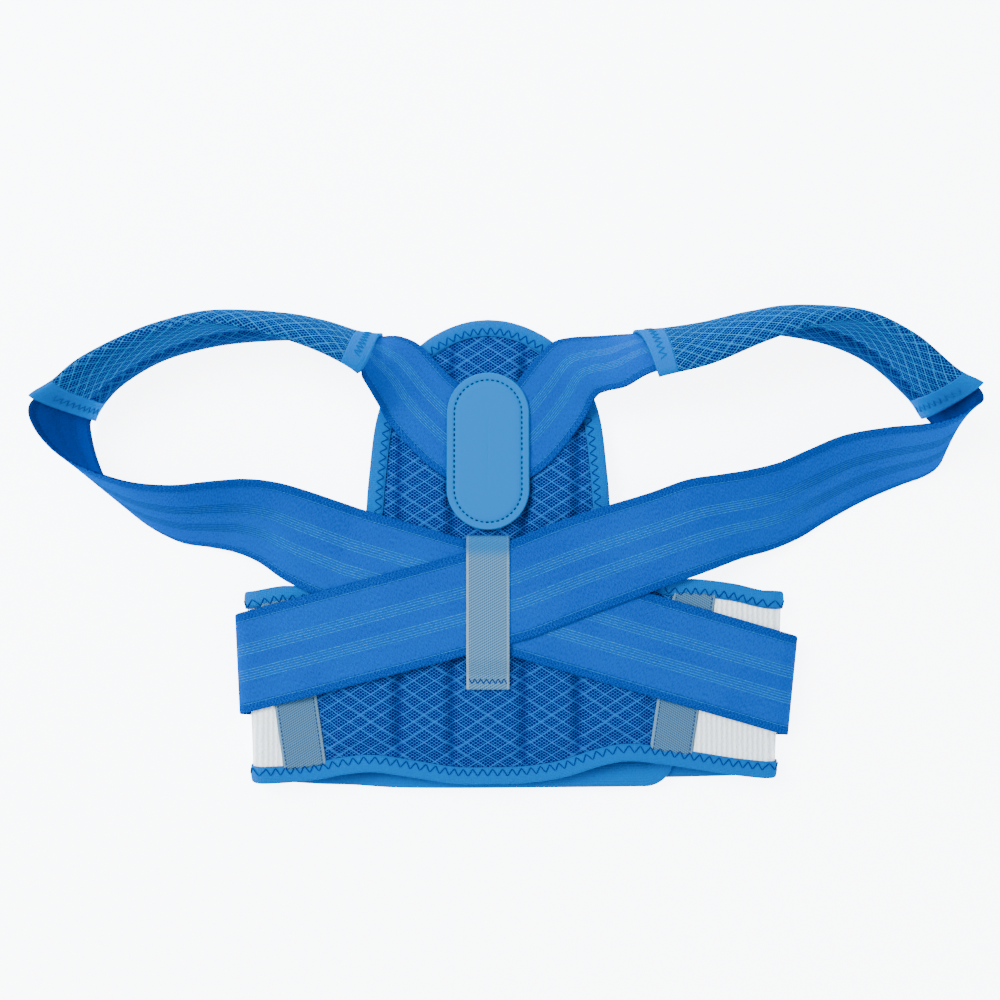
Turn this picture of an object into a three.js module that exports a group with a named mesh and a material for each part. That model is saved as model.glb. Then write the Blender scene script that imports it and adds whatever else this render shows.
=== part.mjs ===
// A posture corrector laid flat with its outer face up: a quilted back panel with wide waist wings that
// fold behind it, two elastic straps that stand up as shoulder loops and cross over the back, a pad on
// each loop, a webbing keeper where the straps cross and an oval patch over their sewn ends.
// x runs to the right along the waist, y from the waist hem to the top of the yoke, z up from the table.
import * as THREE from 'three'

// Driving sizes in millimetres and degrees
const clearance = 0.3
const panelHeight = 272
const yokeHalfWidth = 70.5
const beltHeight = 114
const seamTopReach = 120.8
const seamHemReach = 107
const wingReach = 389
const leftFoldReach = 132.6
const rightFoldReach = 163.2
const foldTilt = 2.2
const foldMargin = 4
const wingCornerRadius = 17.5
const sheetThickness = 2.4
const crownThickness = 6
const crownStart = 9
const crownRun = 14
const quiltDepth = 1.6
const quiltWidth = 5
const hollowHeight = 4.6
const buckleRun = 45
const yokeDropStart = 136
const yokeDropPower = 1.34
const riseRun = 34
const riseLead = 7
const riseStart = 50
const tapeThickness = 0.8
const tapeCover = 8
const webbingThickness = 1.2
const webbingWidth = 25
const keeperTop = 144.8
const keeperFoot = 54.6
const keeperSeam = 64
const keeperOpening = 73.5
const keeperBend = 2.4
const keeperHemTurn = 1
const strapThickness = 1.8
const strapWidth = 57.5
const loopReach = 260
const leftStrapFoldSlack = 4.2
const rightStrapFoldSlack = 6
const leftStrapFoldTilt = 2.7
const rightStrapFoldTilt = 5.6
const strapTabLength = 78
const padLength = 194
const padThickness = 10.5
const padMargin = 4.4
const padSlack = 0.6
const padSlotMargin = 1.5
const padShoulder = 0.82
const padCornerShare = 0.25
const padEndShare = 0.72
const padBindingLength = 13
const patchWidth = 48.4
const patchHeight = 92.4
const patchThickness = 2
const patchFoot = 147.8

const colours = {
  mesh: { color: 0x235acd, roughness: 0.85, metalness: 0 },
  padMesh: { color: 0x2d8ce1, roughness: 0.85, metalness: 0 },
  tape: { color: 0x288cdc, roughness: 0.8, metalness: 0 },
  elastic: { color: 0x0073dc, roughness: 0.6, metalness: 0 },
  webbing: { color: 0x8caabe, roughness: 0.75, metalness: 0 },
  fleece: { color: 0xf0f0ec, roughness: 0.95, metalness: 0 },
  leather: { color: 0x1eaaeb, roughness: 0.45, metalness: 0 },
}

// Columns of the panel from its middle line to the seam webbing: the top point is a share of the yoke's half width
// plus a flare towards the seam, and a rise above the belt; the hem point is a share of the seam's reach
const panelColumns = [
  { yoke: 0, flare: 0, rise: 1, hem: 0 },
  { yoke: 0.15, flare: 0, rise: 0.993, hem: 0.1 },
  { yoke: 0.3, flare: 0, rise: 0.973, hem: 0.205 },
  { yoke: 0.43, flare: 0, rise: 0.945, hem: 0.29 },
  { yoke: 0.525, flare: 0, rise: 0.917, hem: 0.355 },
  { yoke: 0.64, flare: 0, rise: 0.87, hem: 0.43 },
  { yoke: 0.745, flare: 0, rise: 0.81, hem: 0.505 },
  { yoke: 0.84, flare: 0, rise: 0.735, hem: 0.565 },
  { yoke: 0.905, flare: 0, rise: 0.655, hem: 0.625 },
  { yoke: 0.945, flare: 0, rise: 0.565, hem: 0.675 },
  { yoke: 0.975, flare: 0, rise: 0.43, hem: 0.725 },
  { yoke: 0.99, flare: 0, rise: 0.355, hem: 0.743 },
  { yoke: 1, flare: 0, rise: 0.285, hem: 0.76 },
  { yoke: 1, flare: 0.035, rise: 0.23, hem: 0.775 },
  { yoke: 1, flare: 0.08, rise: 0.175, hem: 0.79 },
  { yoke: 1, flare: 0.155, rise: 0.13, hem: 0.805 },
  { yoke: 1, flare: 0.25, rise: 0.085, hem: 0.82 },
  { yoke: 1, flare: 0.5, rise: 0.028, hem: 0.85 },
]

// Rows of the panel from hem to top, as shares of the free height between the two bound edges
const panelRows = [0, 0.07, 0.25, 0.45, 0.6, 0.7, 0.78, 0.86, 0.93, 1]

// Quilted valleys as shares of the yoke's half width
const quiltLines = [0.3, 0.745]

// The belt's two long edges by reach, a share of the wing's reach: heights are shares of the belt's height
// and the buckle is how far the hem stands up off the wing beneath, a share of the hollow's height
const beltEdges = [
  { reach: 0, hemLeft: 0, hemRight: 0, topLeft: 1.005, topRight: 1.035, buckleLeft: 0, buckleRight: 0 },
  { reach: 0.05, hemLeft: 0.002, hemRight: 0.004, topLeft: 1.005, topRight: 1.035, buckleLeft: 0, buckleRight: 0 },
  { reach: 0.11, hemLeft: 0.034, hemRight: 0.035, topLeft: 1.005, topRight: 1.035, buckleLeft: 0.2, buckleRight: 0.3 },
  { reach: 0.17, hemLeft: 0.066, hemRight: 0.1, topLeft: 1.005, topRight: 1.035, buckleLeft: 0.8, buckleRight: 1.1 },
  { reach: 0.21, hemLeft: 0.056, hemRight: 0.124, topLeft: 1.003, topRight: 1.035, buckleLeft: 0.5, buckleRight: 1.4 },
  { reach: 0.26, hemLeft: 0.022, hemRight: 0.105, topLeft: 1.002, topRight: 1.035, buckleLeft: 0, buckleRight: 0.4 },
  { reach: 0.31, hemLeft: 0.005, hemRight: 0.078, topLeft: 0.998, topRight: 1.034, buckleLeft: 0, buckleRight: 0 },
  { reach: 0.37, hemLeft: -0.004, hemRight: 0.046, topLeft: 0.962, topRight: 1.01, buckleLeft: 0, buckleRight: 0 },
  { reach: 0.42, hemLeft: -0.02, hemRight: 0.028, topLeft: 0.95, topRight: 0.972, buckleLeft: 0, buckleRight: 0 },
  { reach: 0.47, hemLeft: -0.03, hemRight: 0.018, topLeft: 0.94, topRight: 0.965, buckleLeft: 0, buckleRight: 0 },
  { reach: 0.65, hemLeft: -0.04, hemRight: 0.004, topLeft: 0.92, topRight: 0.965, buckleLeft: 0, buckleRight: 0 },
  { reach: 1, hemLeft: -0.03, hemRight: 0, topLeft: 0.915, topRight: 0.955, buckleLeft: 0, buckleRight: 0 },
]

// Each strap's free loop from its sewn end, a row for each section: the foot edge's place (out a share of
// the loop's reach, up of the panel's height, lift of the strap's width), then the way across to the other
// edge and the bulge between them, as shares of the strap's width
const leftLoop = [
  { out: 0.023, up: 0.816, lift: 0.275, over: 0, rise: -0.93, stand: 0.1, belly: 0 },
  { out: 0.054, up: 0.849, lift: 0.257, over: 0.33, rise: -0.82, stand: 0.085, belly: 0 },
  { out: 0.093, up: 0.882, lift: 0.232, over: 0.56, rise: -0.56, stand: 0.09, belly: 0 },
  { out: 0.154, up: 0.943, lift: 0.181, over: 0.4, rise: -0.64, stand: 0.27, belly: 0.01 },
  { out: 0.195, up: 0.962, lift: 0.155, over: 0.28, rise: -0.6, stand: 0.43, belly: 0.03 },
  { out: 0.225, up: 0.965, lift: 0.129, over: 0.21, rise: -0.49, stand: 0.56, belly: 0.03 },
  { out: 0.254, up: 0.963, lift: 0.117, over: 0.12, rise: -0.38, stand: 0.69, belly: 0.03 },
  { out: 0.35, up: 0.966, lift: 0.096, over: 0.04, rise: -0.2, stand: 0.79, belly: 0.11 },
  { out: 0.462, up: 0.97, lift: 0.09, over: 0.02, rise: -0.06, stand: 0.84, belly: 0.11 },
  { out: 0.59, up: 0.962, lift: 0.09, over: 0.01, rise: 0.07, stand: 0.86, belly: 0.07 },
  { out: 0.692, up: 0.942, lift: 0.09, over: 0.03, rise: 0.08, stand: 0.86, belly: 0.03 },
  { out: 0.771, up: 0.914, lift: 0.09, over: 0.05, rise: 0.07, stand: 0.86, belly: 0 },
  { out: 0.846, up: 0.868, lift: 0.09, over: 0.09, rise: 0.09, stand: 0.85, belly: -0.02 },
  { out: 0.888, up: 0.824, lift: 0.1, over: 0.14, rise: 0.1, stand: 0.84, belly: -0.03 },
  { out: 0.911, up: 0.783, lift: 0.108, over: 0.25, rise: 0.15, stand: 0.84, belly: -0.03 },
  { out: 0.914, up: 0.749, lift: 0.06, over: 0.29, rise: 0.18, stand: 0.9, belly: -0.03 },
  { out: 0.904, up: 0.696, lift: 0.014, over: 0.26, rise: 0.24, stand: 0.92, belly: -0.02 },
  { out: 0.881, up: 0.645, lift: 0.014, over: 0.18, rise: 0.29, stand: 0.92, belly: 0 },
  { out: 0.844, up: 0.6, lift: 0.014, over: 0.09, rise: 0.35, stand: 0.92, belly: 0.02 },
  { out: 0.781, up: 0.55, lift: 0.014, over: -0.03, rise: 0.45, stand: 0.88, belly: 0.03 },
  { out: 0.708, up: 0.515, lift: 0.026, over: -0.1, rise: 0.58, stand: 0.8, belly: 0.03 },
  { out: 0.637, up: 0.504, lift: 0.06, over: -0.13, rise: 0.67, stand: 0.68, belly: 0.03 },
  { out: 0.578, up: 0.493, lift: 0.129, over: -0.2, rise: 0.75, stand: 0.53, belly: 0.02 },
  { out: 0.52, up: 0.472, lift: 0.224, over: -0.23, rise: 0.82, stand: 0.37, belly: 0.01 },
  { out: 0.45, up: 0.432, lift: 0.372, over: -0.2, rise: 0.93, stand: 0.14, belly: 0 },
  { out: 0.352, up: 0.387, lift: 0.39, over: -0.28, rise: 0.96, stand: 0, belly: 0 },
]
const rightLoop = [
  { out: 0.023, up: 0.816, lift: 0.275, over: 0, rise: -0.93, stand: 0.1, belly: 0 },
  { out: 0.054, up: 0.849, lift: 0.257, over: 0.33, rise: -0.82, stand: 0.085, belly: 0 },
  { out: 0.101, up: 0.907, lift: 0.218, over: 0.49, rise: -0.65, stand: 0.09, belly: 0 },
  { out: 0.144, up: 0.949, lift: 0.181, over: 0.43, rise: -0.59, stand: 0.27, belly: 0.01 },
  { out: 0.188, up: 0.961, lift: 0.164, over: 0.33, rise: -0.59, stand: 0.41, belly: 0.02 },
  { out: 0.254, up: 0.965, lift: 0.138, over: 0.22, rise: -0.57, stand: 0.55, belly: 0.03 },
  { out: 0.325, up: 0.969, lift: 0.117, over: 0.15, rise: -0.46, stand: 0.68, belly: 0.07 },
  { out: 0.477, up: 0.974, lift: 0.096, over: 0, rise: -0.35, stand: 0.78, belly: 0.12 },
  { out: 0.587, up: 0.982, lift: 0.09, over: -0.01, rise: -0.19, stand: 0.83, belly: 0.13 },
  { out: 0.681, up: 0.98, lift: 0.09, over: 0, rise: -0.04, stand: 0.86, belly: 0.12 },
  { out: 0.792, up: 0.957, lift: 0.09, over: 0.03, rise: 0.12, stand: 0.86, belly: 0.06 },
  { out: 0.886, up: 0.912, lift: 0.09, over: 0.08, rise: 0.13, stand: 0.85, belly: 0 },
  { out: 0.967, up: 0.84, lift: 0.09, over: 0.12, rise: 0.13, stand: 0.84, belly: -0.05 },
  { out: 1.002, up: 0.793, lift: 0.095, over: 0.2, rise: 0.22, stand: 0.84, belly: -0.05 },
  { out: 1.03, up: 0.765, lift: 0.05, over: 0.13, rise: 0.24, stand: 0.89, belly: -0.03 },
  { out: 1.046, up: 0.733, lift: 0.014, over: -0.01, rise: 0.33, stand: 0.92, belly: -0.02 },
  { out: 1.048, up: 0.702, lift: 0.014, over: -0.14, rise: 0.39, stand: 0.9, belly: 0 },
  { out: 1.031, up: 0.676, lift: 0.014, over: -0.24, rise: 0.44, stand: 0.87, belly: 0.02 },
  { out: 1, up: 0.658, lift: 0.014, over: -0.34, rise: 0.49, stand: 0.83, belly: 0.03 },
  { out: 0.946, up: 0.639, lift: 0.014, over: -0.36, rise: 0.56, stand: 0.76, belly: 0.03 },
  { out: 0.86, up: 0.603, lift: 0.016, over: -0.37, rise: 0.66, stand: 0.69, belly: 0.03 },
  { out: 0.773, up: 0.557, lift: 0.026, over: -0.33, rise: 0.73, stand: 0.61, belly: 0.03 },
  { out: 0.715, up: 0.524, lift: 0.069, over: -0.33, rise: 0.77, stand: 0.53, belly: 0.02 },
  { out: 0.646, up: 0.498, lift: 0.147, over: -0.31, rise: 0.82, stand: 0.41, belly: 0.02 },
  { out: 0.573, up: 0.48, lift: 0.241, over: -0.26, rise: 0.86, stand: 0.29, belly: 0.01 },
  { out: 0.492, up: 0.454, lift: 0.375, over: -0.23, rise: 0.93, stand: 0.14, belly: 0 },
  { out: 0.4, up: 0.424, lift: 0.446, over: -0.22, rise: 0.93, stand: 0.05, belly: 0 },
  { out: 0.249, up: 0.37, lift: 0.459, over: -0.27, rise: 0.96, stand: 0.01, belly: 0 },
  { out: 0.096, up: 0.3135, lift: 0.472, over: -0.258, rise: 0.966, stand: 0, belly: 0 },
]

// How high each strap rides where it crosses the back, by its way out as a share of the loop's reach:
// 1 is its level at the keeper and 0 its level at the fold round the waist
const leftRide = [
  { out: -0.64, share: 0 },
  { out: -0.48, share: 0.28 },
  { out: -0.36, share: 0.64 },
  { out: -0.2, share: 0.85 },
  { out: -0.07, share: 1 },
  { out: 0.07, share: 1 },
  { out: 0.2, share: 0.86 },
  { out: 0.352, share: 0.42 },
]
const rightRide = [
  { out: -0.54, share: 0 },
  { out: -0.48, share: 0.2 },
  { out: -0.41, share: 0.63 },
  { out: -0.32, share: 0.7 },
  { out: -0.2, share: 0.9 },
  { out: -0.07, share: 1 },
  { out: 0.2, share: 1 },
]

// Levels that stack up from the table
const tabLevel = strapThickness / 2
const wingOuterLevel = strapThickness + clearance + 0.1
const wingLevel = wingOuterLevel + sheetThickness
const tapeOffset = clearance + tapeThickness
const wingRise = sheetThickness + 2 * tapeOffset + clearance
const panelLift = wingLevel + wingRise + tapeOffset + hollowHeight + tapeOffset
const foldRadius = (panelLift - wingLevel) / 2
const foldMiddle = (panelLift + wingLevel) / 2
const yokeDrop = panelLift - tapeOffset - 0.2
const keeperBackLevel = panelLift + crownThickness + clearance + webbingThickness / 2
const leftStrapLevel = keeperBackLevel + webbingThickness / 2 + clearance + strapThickness / 2
const rightStrapLevel = leftStrapLevel + strapThickness + clearance
const keeperFrontLevel = rightStrapLevel + strapThickness / 2 + clearance + webbingThickness / 2
const strapFoldLevel = panelLift + sheetThickness + tapeOffset + clearance + tabLevel
const strapOverPanel = crownThickness + clearance + strapThickness + clearance
const strapFoldRadius = (strapFoldLevel - tabLevel) / 2
const beltMiddle = beltHeight / 2

// The two sides of the belt: their folds, their columns in the table of edges, and how a strap folds round them
const sides = {
  left: {
    sign: -1,
    fold: leftFoldReach,
    hem: 'hemLeft',
    top: 'topLeft',
    buckle: 'buckleLeft',
    strapFold: leftFoldReach + leftStrapFoldSlack,
    strapTilt: leftStrapFoldTilt,
  },
  right: {
    sign: 1,
    fold: rightFoldReach,
    hem: 'hemRight',
    top: 'topRight',
    buckle: 'buckleRight',
    strapFold: rightFoldReach + rightStrapFoldSlack,
    strapTilt: rightStrapFoldTilt,
  },
}

// The two straps: each one's loop and ride, its level and slope in degrees where it crosses the back, the counted row
// where its pad starts, and the side of the belt it folds round
const routes = {
  left: { loop: leftLoop, ride: leftRide, level: leftStrapLevel, slope: 16.25, padRow: 5.85, ends: sides.right },
  right: { loop: rightLoop, ride: rightRide, level: rightStrapLevel, slope: 14.95, padRow: 6.1, ends: sides.left },
}

const vector = (x, y, z) => new THREE.Vector3(x, y, z)
const radians = THREE.MathUtils.degToRad
const mix = THREE.MathUtils.lerp
const smooth = (at, from, to) => THREE.MathUtils.smoothstep(at, from, to)
const spaced = (from, to, count) => Array.from({ length: count }, (_, i) => mix(from, to, i / (count - 1)))

// A smooth curve through one column of a table, against the column that orders its rows
function lookUp(rows, key, column, at) {
  const last = rows.length - 1
  let i = 0
  while (i < last - 1 && rows[i + 1][key] < at) i += 1
  const slopeAt = (k) => {
    const before = rows[Math.max(k - 1, 0)]
    const after = rows[Math.min(k + 1, last)]
    return (after[column] - before[column]) / (after[key] - before[key])
  }
  const run = rows[i + 1][key] - rows[i][key]
  const t = THREE.MathUtils.clamp((at - rows[i][key]) / run, 0, 1)
  const eased = t * t * (3 - 2 * t)
  const leaving = run * slopeAt(i) * t * (1 - t) * (1 - t)
  const arriving = run * slopeAt(i + 1) * t * t * (1 - t)
  return mix(rows[i][column], rows[i + 1][column], eased) + leaving - arriving
}

// Every column of a table at a place between its evenly counted rows
function between(rows, at) {
  const counted = rows.map((row, index) => ({ ...row, index }))
  const names = Object.keys(rows[0])
  return Object.fromEntries(names.map((name) => [name, lookUp(counted, 'index', name, at)]))
}

// A closed body from rings of points: joined end to start when endless, or with both ends capped
function skin(rings, endless) {
  const count = rings[0].length
  const indices = []
  const at = (i, j) => (i % rings.length) * count + (j % count)
  const spans = endless ? rings.length : rings.length - 1
  for (let i = 0; i < spans; i += 1) {
    for (let j = 0; j < count; j += 1) {
      indices.push(at(i, j), at(i + 1, j), at(i + 1, j + 1))
      indices.push(at(i, j), at(i + 1, j + 1), at(i, j + 1))
    }
  }
  if (!endless) {
    const far = rings.length - 1
    for (let k = 0; k < count / 2 - 1; k += 1) {
      const l = count - 1 - k
      indices.push(at(0, k), at(0, k + 1), at(0, l - 1), at(0, k), at(0, l - 1), at(0, l))
      indices.push(at(far, k), at(far, l - 1), at(far, k + 1), at(far, k), at(far, l), at(far, l - 1))
    }
  }
  const points = rings.flat()
  let volume = 0
  for (let i = 0; i < indices.length; i += 3) {
    const [a, b, c] = indices.slice(i, i + 3).map((k) => points[k])
    volume += a.dot(b.clone().cross(c))
  }
  const geometry = new THREE.BufferGeometry()
  geometry.setFromPoints(points)
  geometry.setIndex(volume < 0 ? indices.reverse() : indices)
  geometry.computeVertexNormals()
  return geometry
}

// A closed slab between two grids of points with the same rows and columns
function slab(top, bottom) {
  return skin(top.map((row, i) => [...row, ...bottom[i].toReversed()]), false)
}

// The hem and the top edge of the belt, with the wing's end corners rounded
function endInset(reach) {
  const left = Math.max(wingCornerRadius - (wingReach - reach), 0)
  return wingCornerRadius - Math.sqrt(wingCornerRadius ** 2 - left ** 2)
}
const hemAt = (side, reach) =>
  lookUp(beltEdges, 'reach', side.hem, reach / wingReach) * beltHeight + endInset(reach)
const topAt = (side, reach) =>
  lookUp(beltEdges, 'reach', side.top, reach / wingReach) * beltHeight - endInset(reach)

// The sheet of the panel and wings: where its inner face lies, and a place at a height off that face
function underside(y) {
  const down = Math.max(y - yokeDropStart, 0) / (panelHeight - yokeDropStart)
  return panelLift - yokeDrop * down ** yokeDropPower
}
function buckle(side, reach, y) {
  const fade = Math.max(1 - Math.max(y, 0) / buckleRun, 0)
  return lookUp(beltEdges, 'reach', side.buckle, reach / wingReach) * hollowHeight * fade ** 2
}
function wingClimb(side, behind) {
  if (side === sides.right) return 0
  const rightEnd = 2 * rightFoldReach + Math.PI * foldRadius - wingReach
  const done = rightEnd - riseLead
  return wingRise * smooth(behind, done - riseRun, done)
}
function onSheet(side, reach, y, off) {
  const fold = side.fold + (y - beltMiddle) * Math.tan(radians(foldTilt))
  const past = reach - fold
  const wrap = Math.PI * foldRadius
  if (past <= 0) return vector(side.sign * reach, y, underside(y) + buckle(side, reach, y) + off)
  if (past < wrap) {
    const turn = past / foldRadius
    const out = fold + (foldRadius + off) * Math.sin(turn)
    return vector(side.sign * out, y, foldMiddle + (foldRadius + off) * Math.cos(turn))
  }
  const x = side.sign * (fold - (past - wrap))
  return vector(x, y, wingLevel + wingClimb(side, x) - off)
}

// Stations from the middle line out to the wing's end, each with a top and a hem point on the flat cut
function panelStations(side) {
  const inner = panelColumns.map(({ yoke, flare, rise, hem }) => {
    const topReach = yoke * yokeHalfWidth + flare * (seamTopReach - yokeHalfWidth)
    const hemReach = hem * seamHemReach
    const top = mix(topAt(side, seamTopReach), panelHeight, rise)
    return { topReach, hemReach, top, hem: hemAt(side, hemReach) }
  })
  const outer = [webbingWidth / 2 + clearance, 0].map((back) => ({
    topReach: seamTopReach - back,
    hemReach: seamHemReach - back,
    top: topAt(side, seamTopReach),
    hem: hemAt(side, seamHemReach - back),
  }))
  return [...inner, ...outer]
}
function wingStations(side, gap) {
  const foldStart = side.fold - foldMargin
  const foldEnd = side.fold + Math.PI * foldRadius + foldMargin
  const climbEnd = foldEnd + riseStart
  const reaches = [
    mix(seamTopReach, foldStart, 0.5),
    ...spaced(foldStart, foldEnd, 11),
    ...spaced(climbEnd, climbEnd + riseRun, 4),
    mix(climbEnd + riseRun, wingReach, 0.5),
    ...[1, 0.6, 0.3, 0.1, 0].map((share) => wingReach - share * wingCornerRadius),
  ]
  const straight = reaches.map((reach) => ({ topReach: reach, hemReach: reach }))
  const seam = { topReach: seamTopReach + gap, hemReach: seamHemReach + gap }
  const all = [seam, ...straight.filter((station) => station.topReach > seamTopReach + clearance)]
  return all.map((station) => ({
    ...station,
    top: topAt(side, station.topReach),
    hem: hemAt(side, station.hemReach),
  }))
}

// How thick the panel is: thin under its tape and seams, crowned inside, with stitched valleys
function edgeDistance(point, outline) {
  let nearest = Infinity
  for (let i = 1; i < outline.length; i += 1) {
    const line = new THREE.Line3(outline[i - 1], outline[i])
    const foot = line.closestPointToPoint(point, true, vector(0, 0, 0))
    nearest = Math.min(nearest, foot.distanceTo(point))
  }
  return nearest
}
function panelThickness(x, y, outline) {
  const flat = tapeCover + crownStart
  const toSeam = mix(seamHemReach, seamTopReach, y / beltHeight) - Math.abs(x) - webbingWidth / 2 + flat - clearance
  const distance = Math.min(edgeDistance(vector(x, y, 0), outline), toSeam)
  const full = smooth(distance, flat, flat + crownRun)
  const valleys = quiltLines.map((line) => Math.exp(-(((Math.abs(x) - line * yokeHalfWidth) / quiltWidth) ** 2)))
  const dip = quiltDepth * Math.min(valleys[0] + valleys[1], 1)
  return sheetThickness + full * (crownThickness - sheetThickness - dip)
}
function backPanel() {
  const inset = tapeCover + 2 * clearance
  const half = (side) => panelStations(side).map((station) => ({ ...station, side }))
  const stations = [...half(sides.left).slice(1).reverse(), ...half(sides.right)]
  const topLine = stations.map((s) => vector(s.side.sign * s.topReach, s.top, 0))
  const hemLine = stations.map((s) => vector(s.side.sign * s.hemReach, s.hem, 0))
  const outlines = [topLine, hemLine]
  const rings = stations.map((s) => {
    const height = s.top - s.hem
    const inner = panelRows.map((share) => (inset + share * (height - 2 * inset)) / height)
    const shares = [0, ...inner, 1]
    const places = shares.map((share) => ({
      reach: mix(s.hemReach, s.topReach, share),
      y: mix(s.hem, s.top, share),
    }))
    const upper = places.map(({ reach, y }) => {
      const thickness = Math.min(...outlines.map((line) => panelThickness(s.side.sign * reach, y, line)))
      return onSheet(s.side, reach, y, thickness)
    })
    const lower = places.map(({ reach, y }) => onSheet(s.side, reach, y, 0))
    return [...upper, ...lower.reverse()]
  })
  return skin(rings, false)
}

// A waist wing of fleece from the seam, round the fold and behind the panel
function waistWing(side) {
  const rings = wingStations(side, clearance).map((station) => {
    const places = [0, 0.1, 0.4, 1].map((share) => ({
      reach: mix(station.hemReach, station.topReach, share),
      y: mix(station.hem, station.top, share),
    }))
    const outer = places.map(({ reach, y }) => onSheet(side, reach, y, sheetThickness))
    const inner = places.map(({ reach, y }) => onSheet(side, reach, y, 0))
    return [...outer, ...inner.reverse()]
  })
  return skin(rings, false)
}

// The tape folded over the whole edge of the panel and wings, one endless channel section
function edgeBinding() {
  const edge = (side, reach, y) => ({ side, flat: new THREE.Vector2(side.sign * reach, y) })
  const half = (side) => [...panelStations(side), ...wingStations(side, 0).slice(1)]
  const hem = (side) => half(side).map((s) => edge(side, s.hemReach, s.hem))
  const top = (side) => half(side).map((s) => edge(side, s.topReach, s.top))
  const path = [
    ...hem(sides.left).slice(1).reverse(),
    ...hem(sides.right),
    ...top(sides.right).reverse(),
    ...top(sides.left).slice(1),
  ]
  const section = [
    { inset: tapeCover, off: sheetThickness + tapeOffset },
    { inset: -tapeOffset, off: sheetThickness + tapeOffset },
    { inset: -tapeOffset, off: -tapeOffset },
    { inset: tapeCover, off: -tapeOffset },
    { inset: tapeCover, off: -clearance },
    { inset: -clearance, off: -clearance },
    { inset: -clearance, off: sheetThickness + clearance },
    { inset: tapeCover, off: sheetThickness + clearance },
  ]
  const rings = path.map(({ side, flat }, i) => {
    const before = path[(i + path.length - 1) % path.length].flat
    const after = path[(i + 1) % path.length].flat
    const into = flat.clone().sub(before).normalize()
    const along = into.clone().add(after.clone().sub(flat).normalize()).normalize()
    const inward = new THREE.Vector2(-along.y, along.x).divideScalar(along.dot(into))
    return section.map(({ inset, off }) => {
      const at = flat.clone().addScaledVector(inward, inset)
      const mapped = side.sign * at.x < 0 ? (side === sides.left ? sides.right : sides.left) : side
      return onSheet(mapped, mapped.sign * at.x, at.y, off)
    })
  })
  return skin(rings, true)
}

// Webbing sewn over the seam between the panel and a wing
function seamWebbing(side) {
  const half = webbingWidth / 2
  const tucked = tapeCover + 3 * clearance
  const layer = (off) => [0, 0.15, 0.4, 1].map((share) => spaced(-half, half, 5).map((across) => {
    const low = hemAt(side, seamHemReach + across) + tucked
    const high = topAt(side, seamTopReach + across) - tucked
    return onSheet(side, mix(seamHemReach, seamTopReach, share) + across, mix(low, high, share), off)
  }))
  const bottom = sheetThickness + 1.5 * clearance
  return slab(layer(bottom + webbingThickness), layer(bottom))
}

const strapColumns = [0, 1 / 3, 2 / 3, 1]

// The middle surface of a strap as rows of points, in a frame whose x runs out to the strap's own side
function loopRow({ loop }, at) {
  const place = (k) => {
    const row = between(loop, k)
    return { row, foot: vector(row.out * loopReach, row.up * panelHeight, row.lift * strapWidth) }
  }
  const step = 0.05
  const { row, foot } = place(at)
  const across = vector(row.over, row.rise, row.stand).multiplyScalar(strapWidth)
  const along = place(Math.min(at + step, loop.length - 1)).foot.sub(place(Math.max(at - step, 0)).foot)
  const outward = across.clone().cross(along).normalize().multiplyScalar(row.belly * strapWidth)
  return strapColumns.map((v) =>
    foot.clone().addScaledVector(across, v).addScaledVector(outward, 4 * v * (1 - v)))
}

function crossingRows(route) {
  const { loop, ride, level, slope, ends } = route
  const last = loop.at(-1)
  const start = vector(last.out * loopReach, last.up * panelHeight, 0)
  const along = vector(-Math.cos(radians(slope)), -Math.sin(radians(slope)), 0)
  const across = vector(-Math.sin(radians(slope)), Math.cos(radians(slope)), 0).multiplyScalar(strapWidth)
  const foldNormal = vector(-Math.cos(radians(ends.strapTilt)), -Math.sin(radians(ends.strapTilt)), 0)
  const foldPlace = vector(-ends.strapFold, beltMiddle, 0)
  const reachOf = (point) => point.clone().sub(foldPlace).dot(foldNormal)
  const wrap = Math.PI * strapFoldRadius
  const rolled = (point) => {
    const past = reachOf(point)
    const height = strapFoldLevel + (level - strapFoldLevel) * lookUp(ride, 'out', 'share', point.x / loopReach)
    if (past <= 0) return point.clone().setZ(height)
    const turn = Math.min(past, wrap) / strapFoldRadius
    const back = -past + strapFoldRadius * Math.sin(turn) - Math.max(past - wrap, 0)
    const folded = point.clone().addScaledVector(foldNormal, back)
    return folded.setZ(tabLevel + strapFoldRadius * (1 + Math.cos(turn)))
  }
  const pace = along.dot(foldNormal)
  const starts = [start, start.clone().add(across)].map((point) => -reachOf(point) / pace)
  const foldFrom = Math.min(...starts)
  const foldTo = Math.max(...starts) + wrap / pace
  const distances = [
    ...spaced(0, foldFrom - 2, 12).slice(1),
    ...spaced(foldFrom, foldTo, 14),
    mix(foldTo, foldFrom + strapTabLength + wrap, 0.5),
    foldFrom + strapTabLength + wrap,
  ]
  return distances.map((distance) => strapColumns.map((v) =>
    rolled(start.clone().addScaledVector(along, distance).addScaledVector(across, v))))
}

function strapSurface(route) {
  const free = spaced(0, route.loop.length - 1, 2 * route.loop.length - 1).map((at) => loopRow(route, at))
  const rows = [...free, ...crossingRows(route)]
  const normals = rows.map((row, i) => row.map((_, j) => {
    const before = rows[Math.max(i - 1, 0)][j]
    const after = rows[Math.min(i + 1, rows.length - 1)][j]
    const across = row[Math.min(j + 1, row.length - 1)].clone().sub(row[Math.max(j - 1, 0)])
    return across.cross(after.clone().sub(before)).normalize()
  }))
  return { rows, normals }
}

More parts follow.
